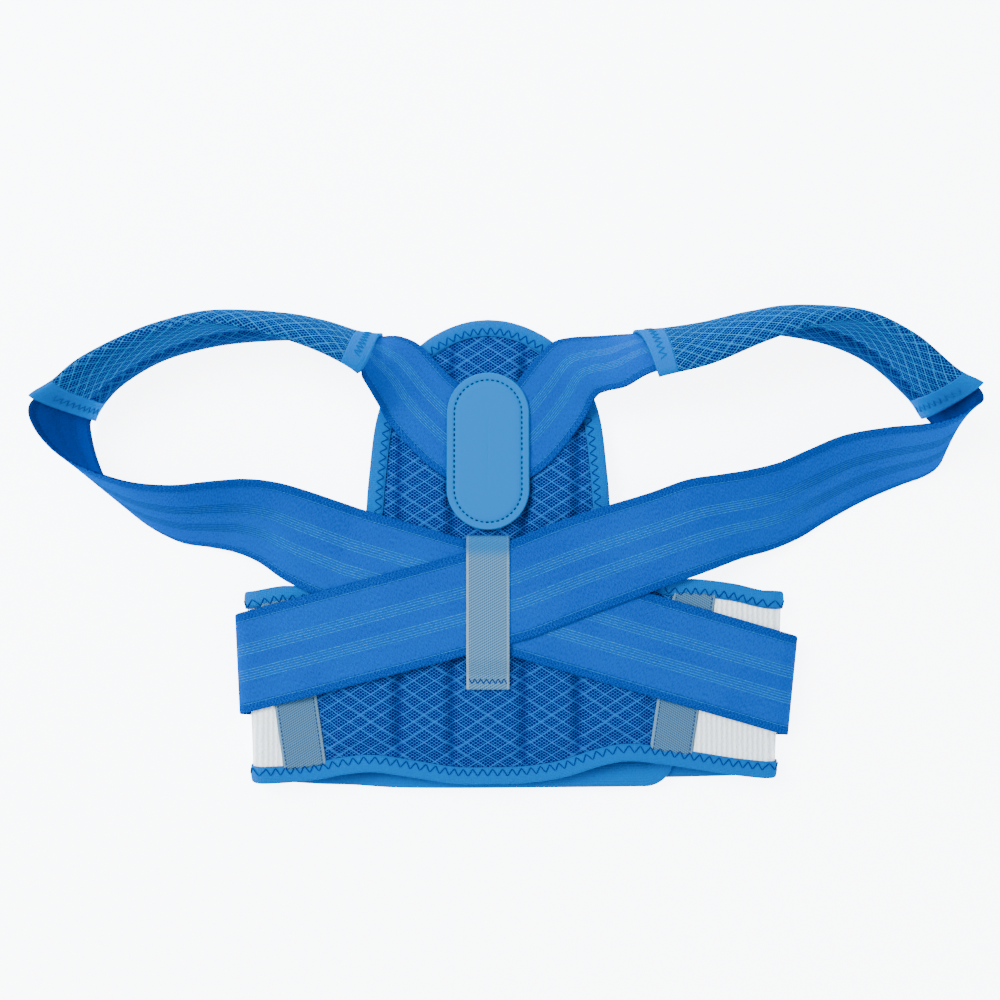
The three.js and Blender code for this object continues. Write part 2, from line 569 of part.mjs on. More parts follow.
// A place on a strap's surface at a counted row: a share across it, extra past its edge, and a height off it
function onStrap(surface, at, share, extra, off) {
  const place = (i) => {
    const row = surface.rows[i]
    const last = row.length - 1
    const j = Math.min(Math.floor(share * last), last - 1)
    const part = share * last - j
    const point = row[j].clone().lerp(row[j + 1], part)
    const edge = row[j + 1].clone().sub(row[j]).normalize()
    const normal = surface.normals[i][j].clone().lerp(surface.normals[i][j + 1], part)
    return point.addScaledVector(edge, extra).addScaledVector(normal, off)
  }
  const i = Math.min(Math.floor(at), surface.rows.length - 2)
  return place(i).lerp(place(i + 1), at - i)
}

function shoulderStrap(sign, { rows, normals }) {
  const face = (off) => rows.map((row, i) => row.map((point, j) => {
    const lifted = point.clone().addScaledVector(normals[i][j], off)
    return lifted.setX(sign * lifted.x)
  }))
  return slab(face(strapThickness / 2), face(-strapThickness / 2))
}

// The counted row at a distance along the middle of a strap
function rowAtLength(surface, length) {
  let left = length
  for (let i = 1; i < surface.rows.length; i += 1) {
    const step = surface.rows[i][1].distanceTo(surface.rows[i - 1][1])
    if (step >= left) return i - 1 + left / step
    left -= step
  }
  return surface.rows.length - 1
}
function lengthAtRow(surface, row) {
  let length = 0
  for (let i = 1; i <= row; i += 1) length += surface.rows[i][1].distanceTo(surface.rows[i - 1][1])
  return length
}

// A hollow padded sleeve round a strap between two distances along it, open at both ends
function sleeve(sign, surface, from, to, thicknessAt) {
  const first = rowAtLength(surface, from)
  const last = rowAtLength(surface, to)
  const whole = Array.from({ length: Math.floor(last) - Math.floor(first) }, (_, i) => Math.floor(first) + 1 + i)
  const stops = [first, ...whole.filter((row) => row - first > 0.05 && last - row > 0.05), last]
  const ring = (at, side, half) => {
    const outline = [
      { share: 0, extra: -side, off: 0 },
      { share: 0, extra: -side * padCornerShare, off: half * padShoulder },
      { share: 1 / 3, extra: 0, off: half },
      { share: 2 / 3, extra: 0, off: half },
      { share: 1, extra: side * padCornerShare, off: half * padShoulder },
      { share: 1, extra: side, off: 0 },
      { share: 1, extra: side * padCornerShare, off: -half * padShoulder },
      { share: 2 / 3, extra: 0, off: -half },
      { share: 1 / 3, extra: 0, off: -half },
      { share: 0, extra: -side * padCornerShare, off: -half * padShoulder },
    ]
    return outline.map(({ share, extra, off }) => {
      const point = onStrap(surface, at, share, extra, off)
      return point.setX(sign * point.x)
    })
  }
  const slotHalf = strapThickness / 2 + padSlack
  const outside = stops.map((at) => {
    const share = (lengthAtRow(surface, Math.floor(at)) - from) / (to - from)
    return ring(at, padMargin, thicknessAt(THREE.MathUtils.clamp(share, 0, 1)) / 2)
  })
  const inside = stops.map((at) => ring(at, padSlotMargin, slotHalf / padShoulder))
  return skin([...inside, ...outside.reverse()], true)
}

const padStart = (surface, route) => lengthAtRow(surface, 2 * route.padRow)
const padEndThickness = padEndShare * padThickness
const padBulge = (share) => padEndThickness + (padThickness - padEndThickness) * Math.sin(Math.PI * share) ** 0.5

function shoulderPad(sign, surface, route) {
  const from = padStart(surface, route)
  const inner = padBindingLength + clearance
  return sleeve(sign, surface, from + inner, from + padLength - inner, padBulge)
}
function padBinding(sign, surface, route, atTip) {
  const from = padStart(surface, route) + (atTip ? padLength - padBindingLength : 0)
  return sleeve(sign, surface, from, from + padBindingLength, () => padEndThickness + tapeThickness)
}

// The loop of webbing that holds both straps where they cross, its two layers sewn together at the foot
function strapKeeper() {
  const middle = (keeperBackLevel + keeperFrontLevel) / 2
  const sewnLevel = keeperBackLevel + webbingThickness + clearance
  const end = keeperTop - webbingThickness / 2
  const foot = keeperFoot + webbingThickness / 2
  const path = [
    { y: foot + keeperHemTurn, z: keeperBackLevel },
    { y: keeperSeam, z: keeperBackLevel },
    { y: keeperOpening, z: keeperBackLevel },
    { y: mix(keeperOpening, end, 0.5), z: keeperBackLevel },
    { y: end - keeperBend, z: keeperBackLevel },
    { y: end - keeperBend * 0.3, z: mix(keeperBackLevel, middle, 0.4) },
    { y: end, z: middle },
    { y: end - keeperBend * 0.3, z: mix(keeperFrontLevel, middle, 0.4) },
    { y: end - keeperBend, z: keeperFrontLevel },
    { y: mix(keeperOpening, end, 0.5), z: keeperFrontLevel },
    { y: keeperOpening, z: keeperFrontLevel },
    { y: mix(keeperSeam, keeperOpening, 0.4), z: mix(sewnLevel, keeperFrontLevel, 0.4) },
    { y: keeperSeam, z: sewnLevel },
    { y: foot + keeperHemTurn, z: sewnLevel },
    { y: foot, z: (keeperBackLevel + sewnLevel) / 2 },
  ]
  const rings = path.map(({ y, z }, i) => {
    const before = path[(i + path.length - 1) % path.length]
    const after = path[(i + 1) % path.length]
    const into = new THREE.Vector2(y - before.y, z - before.z).normalize()
    const along = into.clone().add(new THREE.Vector2(after.y - y, after.z - z).normalize()).normalize()
    const half = Math.min(webbingThickness / 2 / along.dot(into), webbingThickness)
    const out = { y: along.y * half, z: -along.x * half }
    return [
      vector(-webbingWidth / 2, y + out.y, z + out.z),
      vector(webbingWidth / 2, y + out.y, z + out.z),
      vector(webbingWidth / 2, y - out.y, z - out.z),
      vector(-webbingWidth / 2, y - out.y, z - out.z),
    ]
  })
  return skin(rings, true)
}

// The oval patch that covers the sewn ends of the straps
function backPatch() {
  const radius = patchWidth / 2
  const turns = [82, 68, 54, 40, 27, 13, 0]
  const ends = turns.map((turn) => ({
    half: radius * Math.cos(radians(turn)),
    inset: radius * (1 - Math.sin(radians(turn))),
  }))
  const low = ends.map(({ half, inset }) => ({ half, y: patchFoot + inset }))
  const high = ends.map(({ half, inset }) => ({ half, y: patchFoot + patchHeight - inset })).reverse()
  const middle = { half: radius, y: patchFoot + patchHeight / 2 }
  const layer = (off) => [...low, middle, ...high].map(({ half, y }) =>
    spaced(-half, half, 2).map((x) => vector(x, y, underside(y) + off)))
  const bottom = strapOverPanel + clearance
  return slab(layer(bottom + patchThickness), layer(bottom))
}

function named(name, geometry, look) {
  const mesh = new THREE.Mesh(geometry, new THREE.MeshStandardMaterial(look))
  mesh.name = name
  return mesh
}

const garment = new THREE.Group()
garment.add(named('back_panel', backPanel(), colours.mesh))
garment.add(named('edge_binding', edgeBinding(), colours.tape))
garment.add(named('strap_keeper', strapKeeper(), colours.webbing))
garment.add(named('back_patch', backPatch(), colours.leather))
for (const [name, side] of Object.entries(sides)) {
  const route = routes[name]
  const surface = strapSurface(route)
  garment.add(named(`${name}_waist_wing`, waistWing(side), colours.fleece))
  garment.add(named(`${name}_seam_webbing`, seamWebbing(side), colours.webbing))
  garment.add(named(`${name}_shoulder_strap`, shoulderStrap(side.sign, surface), colours.elastic))
  garment.add(named(`${name}_shoulder_pad`, shoulderPad(side.sign, surface, route), colours.padMesh))
  garment.add(named(`${name}_pad_binding_back`, padBinding(side.sign, surface, route, false), colours.tape))
  garment.add(named(`${name}_pad_binding_tip`, padBinding(side.sign, surface, route, true), colours.tape))
}

// The origin is under the middle of the whole garment, on the table
const extent = new THREE.Box3().setFromObject(garment)
const middle = extent.getCenter(vector(0, 0, 0))
garment.position.set(-middle.x, -middle.y, -extent.min.z)

const postureCorrector = new THREE.Group()
postureCorrector.add(garment)

export default postureCorrector
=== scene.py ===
import math

import bpy
import numpy as np
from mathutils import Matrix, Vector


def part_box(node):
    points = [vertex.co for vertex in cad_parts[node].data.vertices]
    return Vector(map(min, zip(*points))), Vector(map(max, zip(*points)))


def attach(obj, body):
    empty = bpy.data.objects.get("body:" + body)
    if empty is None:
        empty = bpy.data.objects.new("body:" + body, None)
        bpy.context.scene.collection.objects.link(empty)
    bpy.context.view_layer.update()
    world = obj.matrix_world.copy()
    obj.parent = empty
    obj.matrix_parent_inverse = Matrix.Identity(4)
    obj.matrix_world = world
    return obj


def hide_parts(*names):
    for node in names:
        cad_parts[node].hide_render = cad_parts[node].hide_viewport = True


CLEARANCE = 0.0003
PANEL_HEIGHT = 0.272
YOKE_HALF_WIDTH = 0.0705
BELT_HEIGHT = 0.114
SEAM_TOP_REACH = 0.1208
SEAM_HEM_REACH = 0.107
WING_REACH = 0.389
LEFT_FOLD_REACH = 0.1326
RIGHT_FOLD_REACH = 0.1632
FOLD_TILT = 2.2
WING_CORNER_RADIUS = 0.0175
SHEET_THICKNESS = 0.0024
CROWN_THICKNESS = 0.006
CROWN_START = 0.001
CROWN_RUN = 0.011
QUILT_DEPTH = 0.0042
QUILT_WIDTH = 0.0034
HOLLOW_HEIGHT = 0.0046
BUCKLE_RUN = 0.045
YOKE_DROP_START = 0.136
YOKE_DROP_POWER = 1.34
RISE_RUN = 0.034
RISE_LEAD = 0.007
TAPE_THICKNESS = 0.0008
TAPE_COVER = 0.009
WEBBING_THICKNESS = 0.0012
WEBBING_WIDTH = 0.025
KEEPER_TOP = 0.1448
KEEPER_FOOT = 0.0546
KEEPER_SEAM = 0.064
KEEPER_OPENING = 0.0735
KEEPER_BEND = 0.0024
KEEPER_TINT = (0.085, 0.101)
STRAP_THICKNESS = 0.0018
STRAP_WIDTH = 0.0575
LOOP_REACH = 0.26
LEFT_STRAP_FOLD_SLACK = 0.0042
RIGHT_STRAP_FOLD_SLACK = 0.006
LEFT_STRAP_FOLD_TILT = 2.7
RIGHT_STRAP_FOLD_TILT = 5.6
STRAP_TAB_LENGTH = 0.078
RELAXED_RUN = (0.27, 0.43)
PAD_LENGTH = 0.194
PAD_THICKNESS = 0.0105
PAD_MARGIN = 0.0044
PAD_END_SHARE = 0.72
PAD_BINDING_LENGTH = 0.013
PATCH_WIDTH = 0.0484
PATCH_HEIGHT = 0.0924
PATCH_THICKNESS = 0.002
PATCH_FOOT = 0.1478
PATCH_STITCH_INSET = 0.0045
ZIGZAG_PITCH = 0.0058
ZIGZAG_WIDTH = 0.0044
THREAD_RADIUS = 0.00032
DYE_SHARE = 0.34
CREASE_SHARE = 0.2
PAD_CREASE = 0.0026
PAD_BLUNT = 0.62
PAD_BLUNT_RISE = 1.3
# Girth band of the sleeve's lower lip, ending at the crease, that gets painted shade
PAD_SHADED_LIP = (0.0715, 0.0932)
HOLE_ROW_SHARE = 1.5
END_TAPE_GAIN = 0.6
REST_GAP = 0.0001
YOKE_TIP_GAP = 0.0002
CROWN_SEAM_GAP = 0.001
TAPE_TURN = 0.0006
TAPE_PUFF = 0.0004
TAPE_RIPPLE = 0.00012
TAPE_LAP = 0.002
TAPE_ZIGZAG_GAP = 0.0008
TAPE_THREAD_LIFT = 0.00055
END_TAPE_REACHES = (0.3, 0.34)
END_TAPE_HEIGHTS = (0.06, 0.05)
WEBBING_RIM = 0.0006
SEAM_RIM_SHARE = 0.4
SEAM_STITCH_INSET = 0.002
SEAM_STITCH = (0.0024, 0.0008)
SEAM_THREAD_RADIUS = 0.000256
STRAP_RIM_SHARE = 0.06
SLEEVE_GAP = 0.0016
CREASE_WIDTH_SHARE = 0.05
PAD_STITCH_INSET = 0.002
KEEPER_BEND_SHARE = 0.3
KEEPER_ROUND_SHARE = 0.4
KEEPER_HEM_ROUND = 0.001
KEEPER_RIM_SHARE = 0.35
KEEPER_STITCH_INSET = 0.0015
KEEPER_STITCH_RUN = 0.0016
KEEPER_STITCH_FOOT = 0.004
KEEPER_STITCH_SWING = 0.003
PATCH_SIDE_SHARPNESS = 40
PATCH_RIM = 0.0009
PATCH_RIM_SHARE = 0.35
PATCH_GROOVE = 0.0005
PATCH_GROOVE_WIDTH = 0.0008
PATCH_PUFF = 0.0004
PATCH_PUFF_RUN = 0.004
PATCH_STITCH = (0.0031, 0.0011)
PATCH_STITCH_DEPTH = 0.0003
STITCH_RISE = 0.0002
STITCH_ARCH = (-1, 0.6, 1, 0.6, -1)
THREAD_LIFT = 0.0001
THREAD_SLANT = (0.3, 0.2, 1.0)
THREAD_END_SHARE = 0.15
SAME_PLACE = 1e-7
TINY_LENGTH = 1e-12

# How finely each piece is divided
OUTLINE_STATIONS = 200
OUTLINE_CORNER_STATIONS = 24
BINDING_STEP = 0.0013
CROWN_PATH_STEP = 0.003
PATH_CHUNK = 64
PANEL_STATIONS = 136
PANEL_LANES = 150
WING_STATIONS = 260
WING_CORNER_STATIONS = 14
WING_LANES = 60
SEAM_STATIONS = 70
SEAM_LANES = 24
LOOP_STEPS = 12
STRAP_STATIONS = 330
STRAP_LANES = 37
PAD_STATIONS = 150
PAD_TAPE_STATIONS = 14
SLEEVE_LANES = 72
KEEPER_STATIONS = 400
KEEPER_LANES = 20
PATCH_RINGS = ((0.02, 0.9, 44), (0.92, 1, 14))
PATCH_SPOKES = 240
PATCH_STITCH_STATIONS = 2401
LEG_STEPS = 6
THREAD_SIDES = 5

# Looks of the cloths: lengths in metres, noise as its scale along and across and its detail
MESH_ROUGHNESS = 0.8
BAR_WAVER_NOISE = (160, 160, 2)
BAR_WAVER = 0.0012
HOLE_LOSS_ON_BARS = 0.5
HOLE_SOFTNESS = 0.05
HOLE_SHADE = 0.96
HOLE_DEPTH = 0.6
FUZZ_NOISE = (2600, 2600, 2)
FUZZ_SHADE = 0.3
# Painted shade: quilted channels, and the sleeve's lower lip with its crease line
CHANNEL_HALF = 0.0012
CHANNEL_SOFTNESS = 0.0022
CHANNEL_PAINTED_SHADE = 0.6
LIP_SOFTNESS = 0.001
LIP_PAINTED_SHADE = 0.45
LIP_LINE_HALF = 0.0008
CREASE_LINE_PAINTED_SHADE = 0.4
MESH_BUMP = 0.0006
ELASTIC_ROUGHNESS = 0.65
ELASTIC_BORDER = (0.105, 0.095)
ELASTIC_WEFT_PITCH = 0.0008
WARP_PITCH = 0.0009
KNIT_SWING = 0.0014
KNIT_PITCH = 0.0021
RIB_GROUPS = ((0.3, 0.43), (0.565, 0.695))
RIB_GROUP_SOFTNESS = 0.006
RIB_PITCH = 0.00148
RIB_RANGE = (0.62, 0.95)
RAILS = ((0.083, 0.087), (0.908, 0.912))
RAIL_SOFTNESS = 0.003
RELAXED_SOFTNESS = 0.03
RELAXED_SHADE = 0.45
RELAXED_SHADE_INNER = 0.15
RELAXED_GLINT_LOSS = 0.55
RIB_GLINT = 0.72
RAIL_GLINT = 0.9
WEAVE_GLINT = 0.16
INNER_GLINT = 0.35
GLINT_FLOOR = 0.25
FADE_SHADE = 0.5
GRAIN_SHADE = 0.36
KNIT_SHADE = 0.6
BORDER_SHADE = 0.6
KNIT_HEIGHT = 0.5
BORDER_HEIGHT = 0.3
RIB_HEIGHT = 0.5
WEAVE_HEIGHT = 0.35
ELASTIC_BUMP = 0.00025
TAPE_ROUGHNESS = 0.85
TAPE_WEFT_PITCH = 0.0011
TAPE_WEAVE_SHADE = 0.25
MOTTLE_NOISE = (900, 900, 3)
MOTTLE_SHADE = 0.5
TAPE_BUMP = 0.0002
WEBBING_ROUGHNESS = 0.7
TWILL_SLOPE = 0.55
TWILL_PITCH = 0.0016
TWILL_SHARE = 0.6
CORD_PITCH = 0.0012
CORD_SHARE = 0.5
SELVEDGE = (0.07, 0.04)
SELVEDGE_SHADE = 0.6
TINT_SOFTNESS = 0.004
TINT_SHADE = 0.75
WEBBING_BUMP = 0.0003
FLEECE_ROUGHNESS = 0.95
FLEECE_SHEEN = 0.1
FLEECE_WAVER_NOISE = (400, 400, 3)
FLEECE_WAVER = 0.0016
FLEECE_RIB_PITCH = 0.003
FLEECE_RIB_SHARE = 0.8
FLUFF_NOISE = (1500, 1500, 4)
FLUFF_SHARE = 0.9
FLEECE_SHADOW_RANGE = (0.35, 1.0)
FLEECE_BUMP = 0.0009
LEATHER_ROUGHNESS = 0.55
LEATHER_NOISE = (1800, 1800, 3)
LEATHER_SHADE = 0.4
LEATHER_BUMP = 0.00006
THREAD_ROUGHNESS = 0.7

# The elastic's noises, each followed by the range of it that is spread from 0 to 1
ELASTIC_NOISES = {
    "broken": (700, 2600, 3, 0.38, 0.62),
    "fade": (22, 30, 2, 0.3, 0.7),
    "grain": (1500, 560, 3, 0.36, 0.66),
    "speck": (1400, 1400, 3, 0.42, 0.62),
}

# Sockets of the colour mixing node
MIX_LOW = 6
MIX_HIGH = 7
MIX_RESULT = 2

# The studio
PAPER_ROUGHNESS = 0.9
PAPER_COLOUR = (246, 249, 255)
PAPER_GLOW_COLOUR = (0.97, 0.985, 1.0, 1)
PAPER_GLOW = 6.5
FLOOR_REACH = 3.0
FLOOR_DROP = 0.0002
WORLD_COLOUR = (0.8, 0.92, 1.0, 1)
WORLD_STRENGTH = 1.5
LIGHT_SHADE = (0.88, 0.96, 1.0)
LIGHTS = (
    {"name": "key", "place": (-0.75, 0.55, 1.3), "size": 0.7, "power": 58},
    {"name": "fill", "place": (0.9, -0.5, 1.4), "size": 1.4, "power": 18},
)
CAMERA_PLACE = (0.007, 0.1652, 0.7)
CAMERA_LENS = 41.9
CAMERA_SENSOR = 36
CAMERA_CLIP = 0.01


# A table of given shapes: rows under named columns
def table(names, *rows):
    return {name: np.array([row[i] for row in rows]) for i, name in enumerate(names.split())}


LEFT_LOOP = table(
    "out up lift over rise stand belly",
    (0.023, 0.816, 0.275, 0, -0.93, 0.1, 0),
    (0.054, 0.849, 0.257, 0.33, -0.82, 0.085, 0),
    (0.093, 0.882, 0.232, 0.56, -0.56, 0.09, 0),
    (0.154, 0.943, 0.181, 0.4, -0.64, 0.27, 0.01),
    (0.195, 0.962, 0.155, 0.28, -0.6, 0.43, 0.03),
    (0.225, 0.965, 0.129, 0.21, -0.49, 0.56, 0.03),
    (0.254, 0.963, 0.117, 0.12, -0.38, 0.69, 0.03),
    (0.35, 0.966, 0.096, 0.04, -0.2, 0.79, 0.11),
    (0.462, 0.97, 0.09, 0.02, -0.06, 0.84, 0.11),
    (0.59, 0.962, 0.09, 0.01, 0.07, 0.86, 0.07),
    (0.692, 0.942, 0.09, 0.03, 0.08, 0.86, 0.03),
    (0.771, 0.914, 0.09, 0.05, 0.07, 0.86, 0),
    (0.846, 0.868, 0.09, 0.09, 0.09, 0.85, -0.02),
    (0.888, 0.824, 0.1, 0.14, 0.1, 0.84, -0.03),
    (0.911, 0.783, 0.108, 0.25, 0.15, 0.84, -0.03),
    (0.914, 0.749, 0.06, 0.29, 0.18, 0.9, -0.03),
    (0.904, 0.696, 0.014, 0.26, 0.24, 0.92, -0.02),
    (0.881, 0.645, 0.014, 0.18, 0.29, 0.92, 0),
    (0.844, 0.6, 0.014, 0.09, 0.35, 0.92, 0.02),
    (0.781, 0.55, 0.014, -0.03, 0.45, 0.88, 0.03),
    (0.708, 0.515, 0.026, -0.1, 0.58, 0.8, 0.03),
    (0.637, 0.504, 0.06, -0.13, 0.67, 0.68, 0.03),
    (0.578, 0.493, 0.129, -0.2, 0.75, 0.53, 0.02),
    (0.52, 0.472, 0.224, -0.23, 0.82, 0.37, 0.01),
    (0.45, 0.432, 0.372, -0.2, 0.93, 0.14, 0),
    (0.352, 0.387, 0.39, -0.28, 0.96, 0, 0),
)
RIGHT_LOOP = table(
    "out up lift over rise stand belly",
    (0.023, 0.816, 0.275, 0, -0.93, 0.1, 0),
    (0.054, 0.849, 0.257, 0.33, -0.82, 0.085, 0),
    (0.101, 0.907, 0.218, 0.49, -0.65, 0.09, 0),
    (0.144, 0.949, 0.181, 0.43, -0.59, 0.27, 0.01),
    (0.188, 0.961, 0.164, 0.33, -0.59, 0.41, 0.02),
    (0.254, 0.965, 0.138, 0.22, -0.57, 0.55, 0.03),
    (0.325, 0.969, 0.117, 0.15, -0.46, 0.68, 0.07),
    (0.477, 0.974, 0.096, 0, -0.35, 0.78, 0.12),
    (0.587, 0.982, 0.09, -0.01, -0.19, 0.83, 0.13),
    (0.681, 0.98, 0.09, 0, -0.04, 0.86, 0.12),
    (0.792, 0.957, 0.09, 0.03, 0.12, 0.86, 0.06),
    (0.886, 0.912, 0.09, 0.08, 0.13, 0.85, 0),
    (0.967, 0.84, 0.09, 0.12, 0.13, 0.84, -0.05),
    (1.002, 0.793, 0.095, 0.2, 0.22, 0.84, -0.05),
    (1.03, 0.765, 0.05, 0.13, 0.24, 0.89, -0.03),
    (1.046, 0.733, 0.014, -0.01, 0.33, 0.92, -0.02),
    (1.048, 0.702, 0.014, -0.14, 0.39, 0.9, 0),
    (1.031, 0.676, 0.014, -0.24, 0.44, 0.87, 0.02),
    (1, 0.658, 0.014, -0.34, 0.49, 0.83, 0.03),
    (0.946, 0.639, 0.014, -0.36, 0.56, 0.76, 0.03),
    (0.86, 0.603, 0.016, -0.37, 0.66, 0.69, 0.03),
    (0.773, 0.557, 0.026, -0.33, 0.73, 0.61, 0.03),
    (0.715, 0.524, 0.069, -0.33, 0.77, 0.53, 0.02),
    (0.646, 0.498, 0.147, -0.31, 0.82, 0.41, 0.02),
    (0.573, 0.48, 0.241, -0.26, 0.86, 0.29, 0.01),
    (0.492, 0.454, 0.375, -0.23, 0.93, 0.14, 0),
    (0.4, 0.424, 0.446, -0.22, 0.93, 0.05, 0),
    (0.249, 0.37, 0.459, -0.27, 0.96, 0.01, 0),
    (0.096, 0.3135, 0.472, -0.258, 0.966, 0, 0),
)
LEFT_RIDE = table(
    "out share",
    (-0.64, 0),
    (-0.48, 0.28),
    (-0.36, 0.64),
    (-0.2, 0.85),
    (-0.07, 1),
    (0.07, 1),
    (0.2, 0.86),
    (0.352, 0.42),
)
RIGHT_RIDE = table(
    "out share",
    (-0.54, 0),
    (-0.48, 0.2),
    (-0.41, 0.63),
    (-0.32, 0.7),
    (-0.2, 0.9),
    (-0.07, 1),
    (0.2, 1),
)
BELT_EDGES = table(
    "reach hem_left hem_right top_left top_right buckle_left buckle_right",
    (0, 0, 0, 1.005, 1.035, 0, 0),
    (0.05, 0.002, 0.004, 1.005, 1.035, 0, 0),
    (0.11, 0.034, 0.035, 1.005, 1.035, 0.2, 0.3),
    (0.17, 0.066, 0.1, 1.005, 1.035, 0.8, 1.1),
    (0.21, 0.056, 0.124, 1.003, 1.035, 0.5, 1.4),
    (0.26, 0.022, 0.105, 1.002, 1.035, 0, 0.4),
    (0.31, 0.005, 0.078, 0.998, 1.034, 0, 0),
    (0.37, -0.004, 0.046, 0.962, 1.01, 0, 0),
    (0.42, -0.02, 0.028, 0.95, 0.972, 0, 0),
    (0.47, -0.03, 0.018, 0.94, 0.965, 0, 0),
    (0.65, -0.04, 0.004, 0.92, 0.965, 0, 0),
    (1, -0.03, 0, 0.915, 0.955, 0, 0),
)
PANEL_COLUMNS = table(
    "yoke flare rise hem",
    (0, 0, 1, 0),
    (0.15, 0, 0.993, 0.1),
    (0.3, 0, 0.973, 0.205),
    (0.43, 0, 0.945, 0.29),
    (0.525, 0, 0.917, 0.355),
    (0.64, 0, 0.87, 0.43),
    (0.745, 0, 0.81, 0.505),
    (0.84, 0, 0.735, 0.565),
    (0.905, 0, 0.655, 0.625),
    (0.945, 0, 0.565, 0.675),
    (0.975, 0, 0.43, 0.725),
    (0.99, 0, 0.355, 0.743),
    (1, 0, 0.285, 0.76),
    (1, 0.035, 0.23, 0.775),
    (1, 0.08, 0.175, 0.79),
    (1, 0.155, 0.13, 0.805),
    (1, 0.25, 0.085, 0.82),
    (1, 0.5, 0.028, 0.85),
)

# The edge tape's section as shares: inwards of its cover and turn, outwards of its face and gap, up of
# the sheet, the face, the clearance and the puff, and 1 where the tape is puckered
TAPE_SECTION = table(
    "cover turn face gap sheet rise clear puff ripple",
    (1, 0, 0, 0, 1, 1, 0, 0, 1),
    (2 / 3, 0, 0, 0, 1, 1, 0, 0.75, 1),
    (1 / 3, 0, 0, 0, 1, 1, 0, 1, 1),
    (0, 1, 0, 0, 1, 1, 0, 0.25, 1),
    (0, -1, 0, 0, 1, 0.8, 0, 0, 1),
    (0, 0, 1, 0, 1, 0.2, 0, 0, 0),
    (0, 0, 1, 0, 0.5, 0, 0, 0, 0),
    (0, 0, 1, 0, 0, -0.2, 0, 0, 0),
    (0, -1, 0, 0, 0, -0.8, 0, 0, 0),
    (0, 1, 0, 0, 0, -1, 0, 0, 0),
    (1, 0, 0, 0, 0, -1, 0, 0, 0),
    (1, 0, 0, 0, 0, 0, -1, 0, 0),
    (0, 0, 0, 0, 0, 0, -1, 0, 0),
    (0, 0, 0, 1, 0, 0, 0, 0, 0),
    (0, 0, 0, 1, 1, 0, 0, 0, 0),
    (0, 0, 0, 0, 1, 0, 1, 0, 0),
    (1, 0, 0, 0, 1, 0, 1, 0, 0),
)

# Quilted valleys as shares of the yoke's half width
QUILT_LINES = (0.3, 0.745)

# Levels that stack up from the table
TAB_LEVEL = STRAP_THICKNESS / 2
WING_OUTER_LEVEL = STRAP_THICKNESS + CLEARANCE + REST_GAP
WING_LEVEL = WING_OUTER_LEVEL + SHEET_THICKNESS
TAPE_OFFSET = CLEARANCE + TAPE_THICKNESS
WING_RISE = SHEET_THICKNESS + 2 * TAPE_OFFSET + CLEARANCE
PANEL_LIFT = WING_LEVEL + WING_RISE + TAPE_OFFSET + HOLLOW_HEIGHT + TAPE_OFFSET
FOLD_RADIUS = (PANEL_LIFT - WING_LEVEL) / 2
FOLD_MIDDLE = (PANEL_LIFT + WING_LEVEL) / 2
YOKE_DROP = PANEL_LIFT - TAPE_OFFSET - YOKE_TIP_GAP
KEEPER_BACK_LEVEL = PANEL_LIFT + CROWN_THICKNESS + CLEARANCE + WEBBING_THICKNESS / 2
KEEPER_SEWN_LEVEL = KEEPER_BACK_LEVEL + WEBBING_THICKNESS + CLEARANCE
LEFT_STRAP_LEVEL = KEEPER_BACK_LEVEL + WEBBING_THICKNESS / 2 + CLEARANCE + STRAP_THICKNESS / 2
RIGHT_STRAP_LEVEL = LEFT_STRAP_LEVEL + STRAP_THICKNESS + CLEARANCE
KEEPER_FRONT_LEVEL = RIGHT_STRAP_LEVEL + STRAP_THICKNESS / 2 + CLEARANCE + WEBBING_THICKNESS / 2
STRAP_FOLD_LEVEL = PANEL_LIFT + SHEET_THICKNESS + TAPE_OFFSET + CLEARANCE + TAB_LEVEL
STRAP_OVER_PANEL = CROWN_THICKNESS + CLEARANCE + STRAP_THICKNESS + CLEARANCE
STRAP_FOLD_RADIUS = (STRAP_FOLD_LEVEL - TAB_LEVEL) / 2
BELT_MIDDLE = BELT_HEIGHT / 2

SIDES = {
    "left": {
        "sign": -1,
        "fold": LEFT_FOLD_REACH,
        "strap_fold": LEFT_FOLD_REACH + LEFT_STRAP_FOLD_SLACK,
        "strap_tilt": LEFT_STRAP_FOLD_TILT,
    },
    "right": {
        "sign": 1,
        "fold": RIGHT_FOLD_REACH,
        "strap_fold": RIGHT_FOLD_REACH + RIGHT_STRAP_FOLD_SLACK,
        "strap_tilt": RIGHT_STRAP_FOLD_TILT,
    },
}
ROUTES = {
    "left": {
        "loop": LEFT_LOOP,
        "ride": LEFT_RIDE,
        "level": LEFT_STRAP_LEVEL,
        "slope": 16.25,
        "pad_row": 5.85,
        "ends": "right",
    },
    "right": {
        "loop": RIGHT_LOOP,
        "ride": RIGHT_RIDE,
        "level": RIGHT_STRAP_LEVEL,
        "slope": 14.95,
        "pad_row": 6.1,
        "ends": "left",
    },
}


# A smooth curve through one column of a table, against the column that orders its rows
def look_up(keys, values, at):
    at = np.asarray(at, float)
    slopes = np.gradient(values, keys)
    slopes[1:-1] = (values[2:] - values[:-2]) / (keys[2:] - keys[:-2])
    i = np.clip(np.searchsorted(keys, at) - 1, 0, len(keys) - 2)
    run = keys[i + 1] - keys[i]
    t = np.clip((at - keys[i]) / run, 0, 1)
    eased = t * t * (3 - 2 * t)
    leaving = run * slopes[i] * t * (1 - t) ** 2
    arriving = run * slopes[i + 1] * t * t * (1 - t)
    return values[i] + (values[i + 1] - values[i]) * eased + leaving - arriving


def smooth(at, start, end):
    t = np.clip((at - start) / (end - start), 0, 1)
    return t * t * (3 - 2 * t)


def unit(vectors):
    return vectors / np.maximum(np.linalg.norm(vectors, axis=-1, keepdims=True), TINY_LENGTH)


def lengths(points):
    steps = np.linalg.norm(np.diff(points, axis=0), axis=-1)
    return np.concatenate([[0], np.cumsum(steps)])


def part_way(start, end, share):
    return start + (end - start) * share


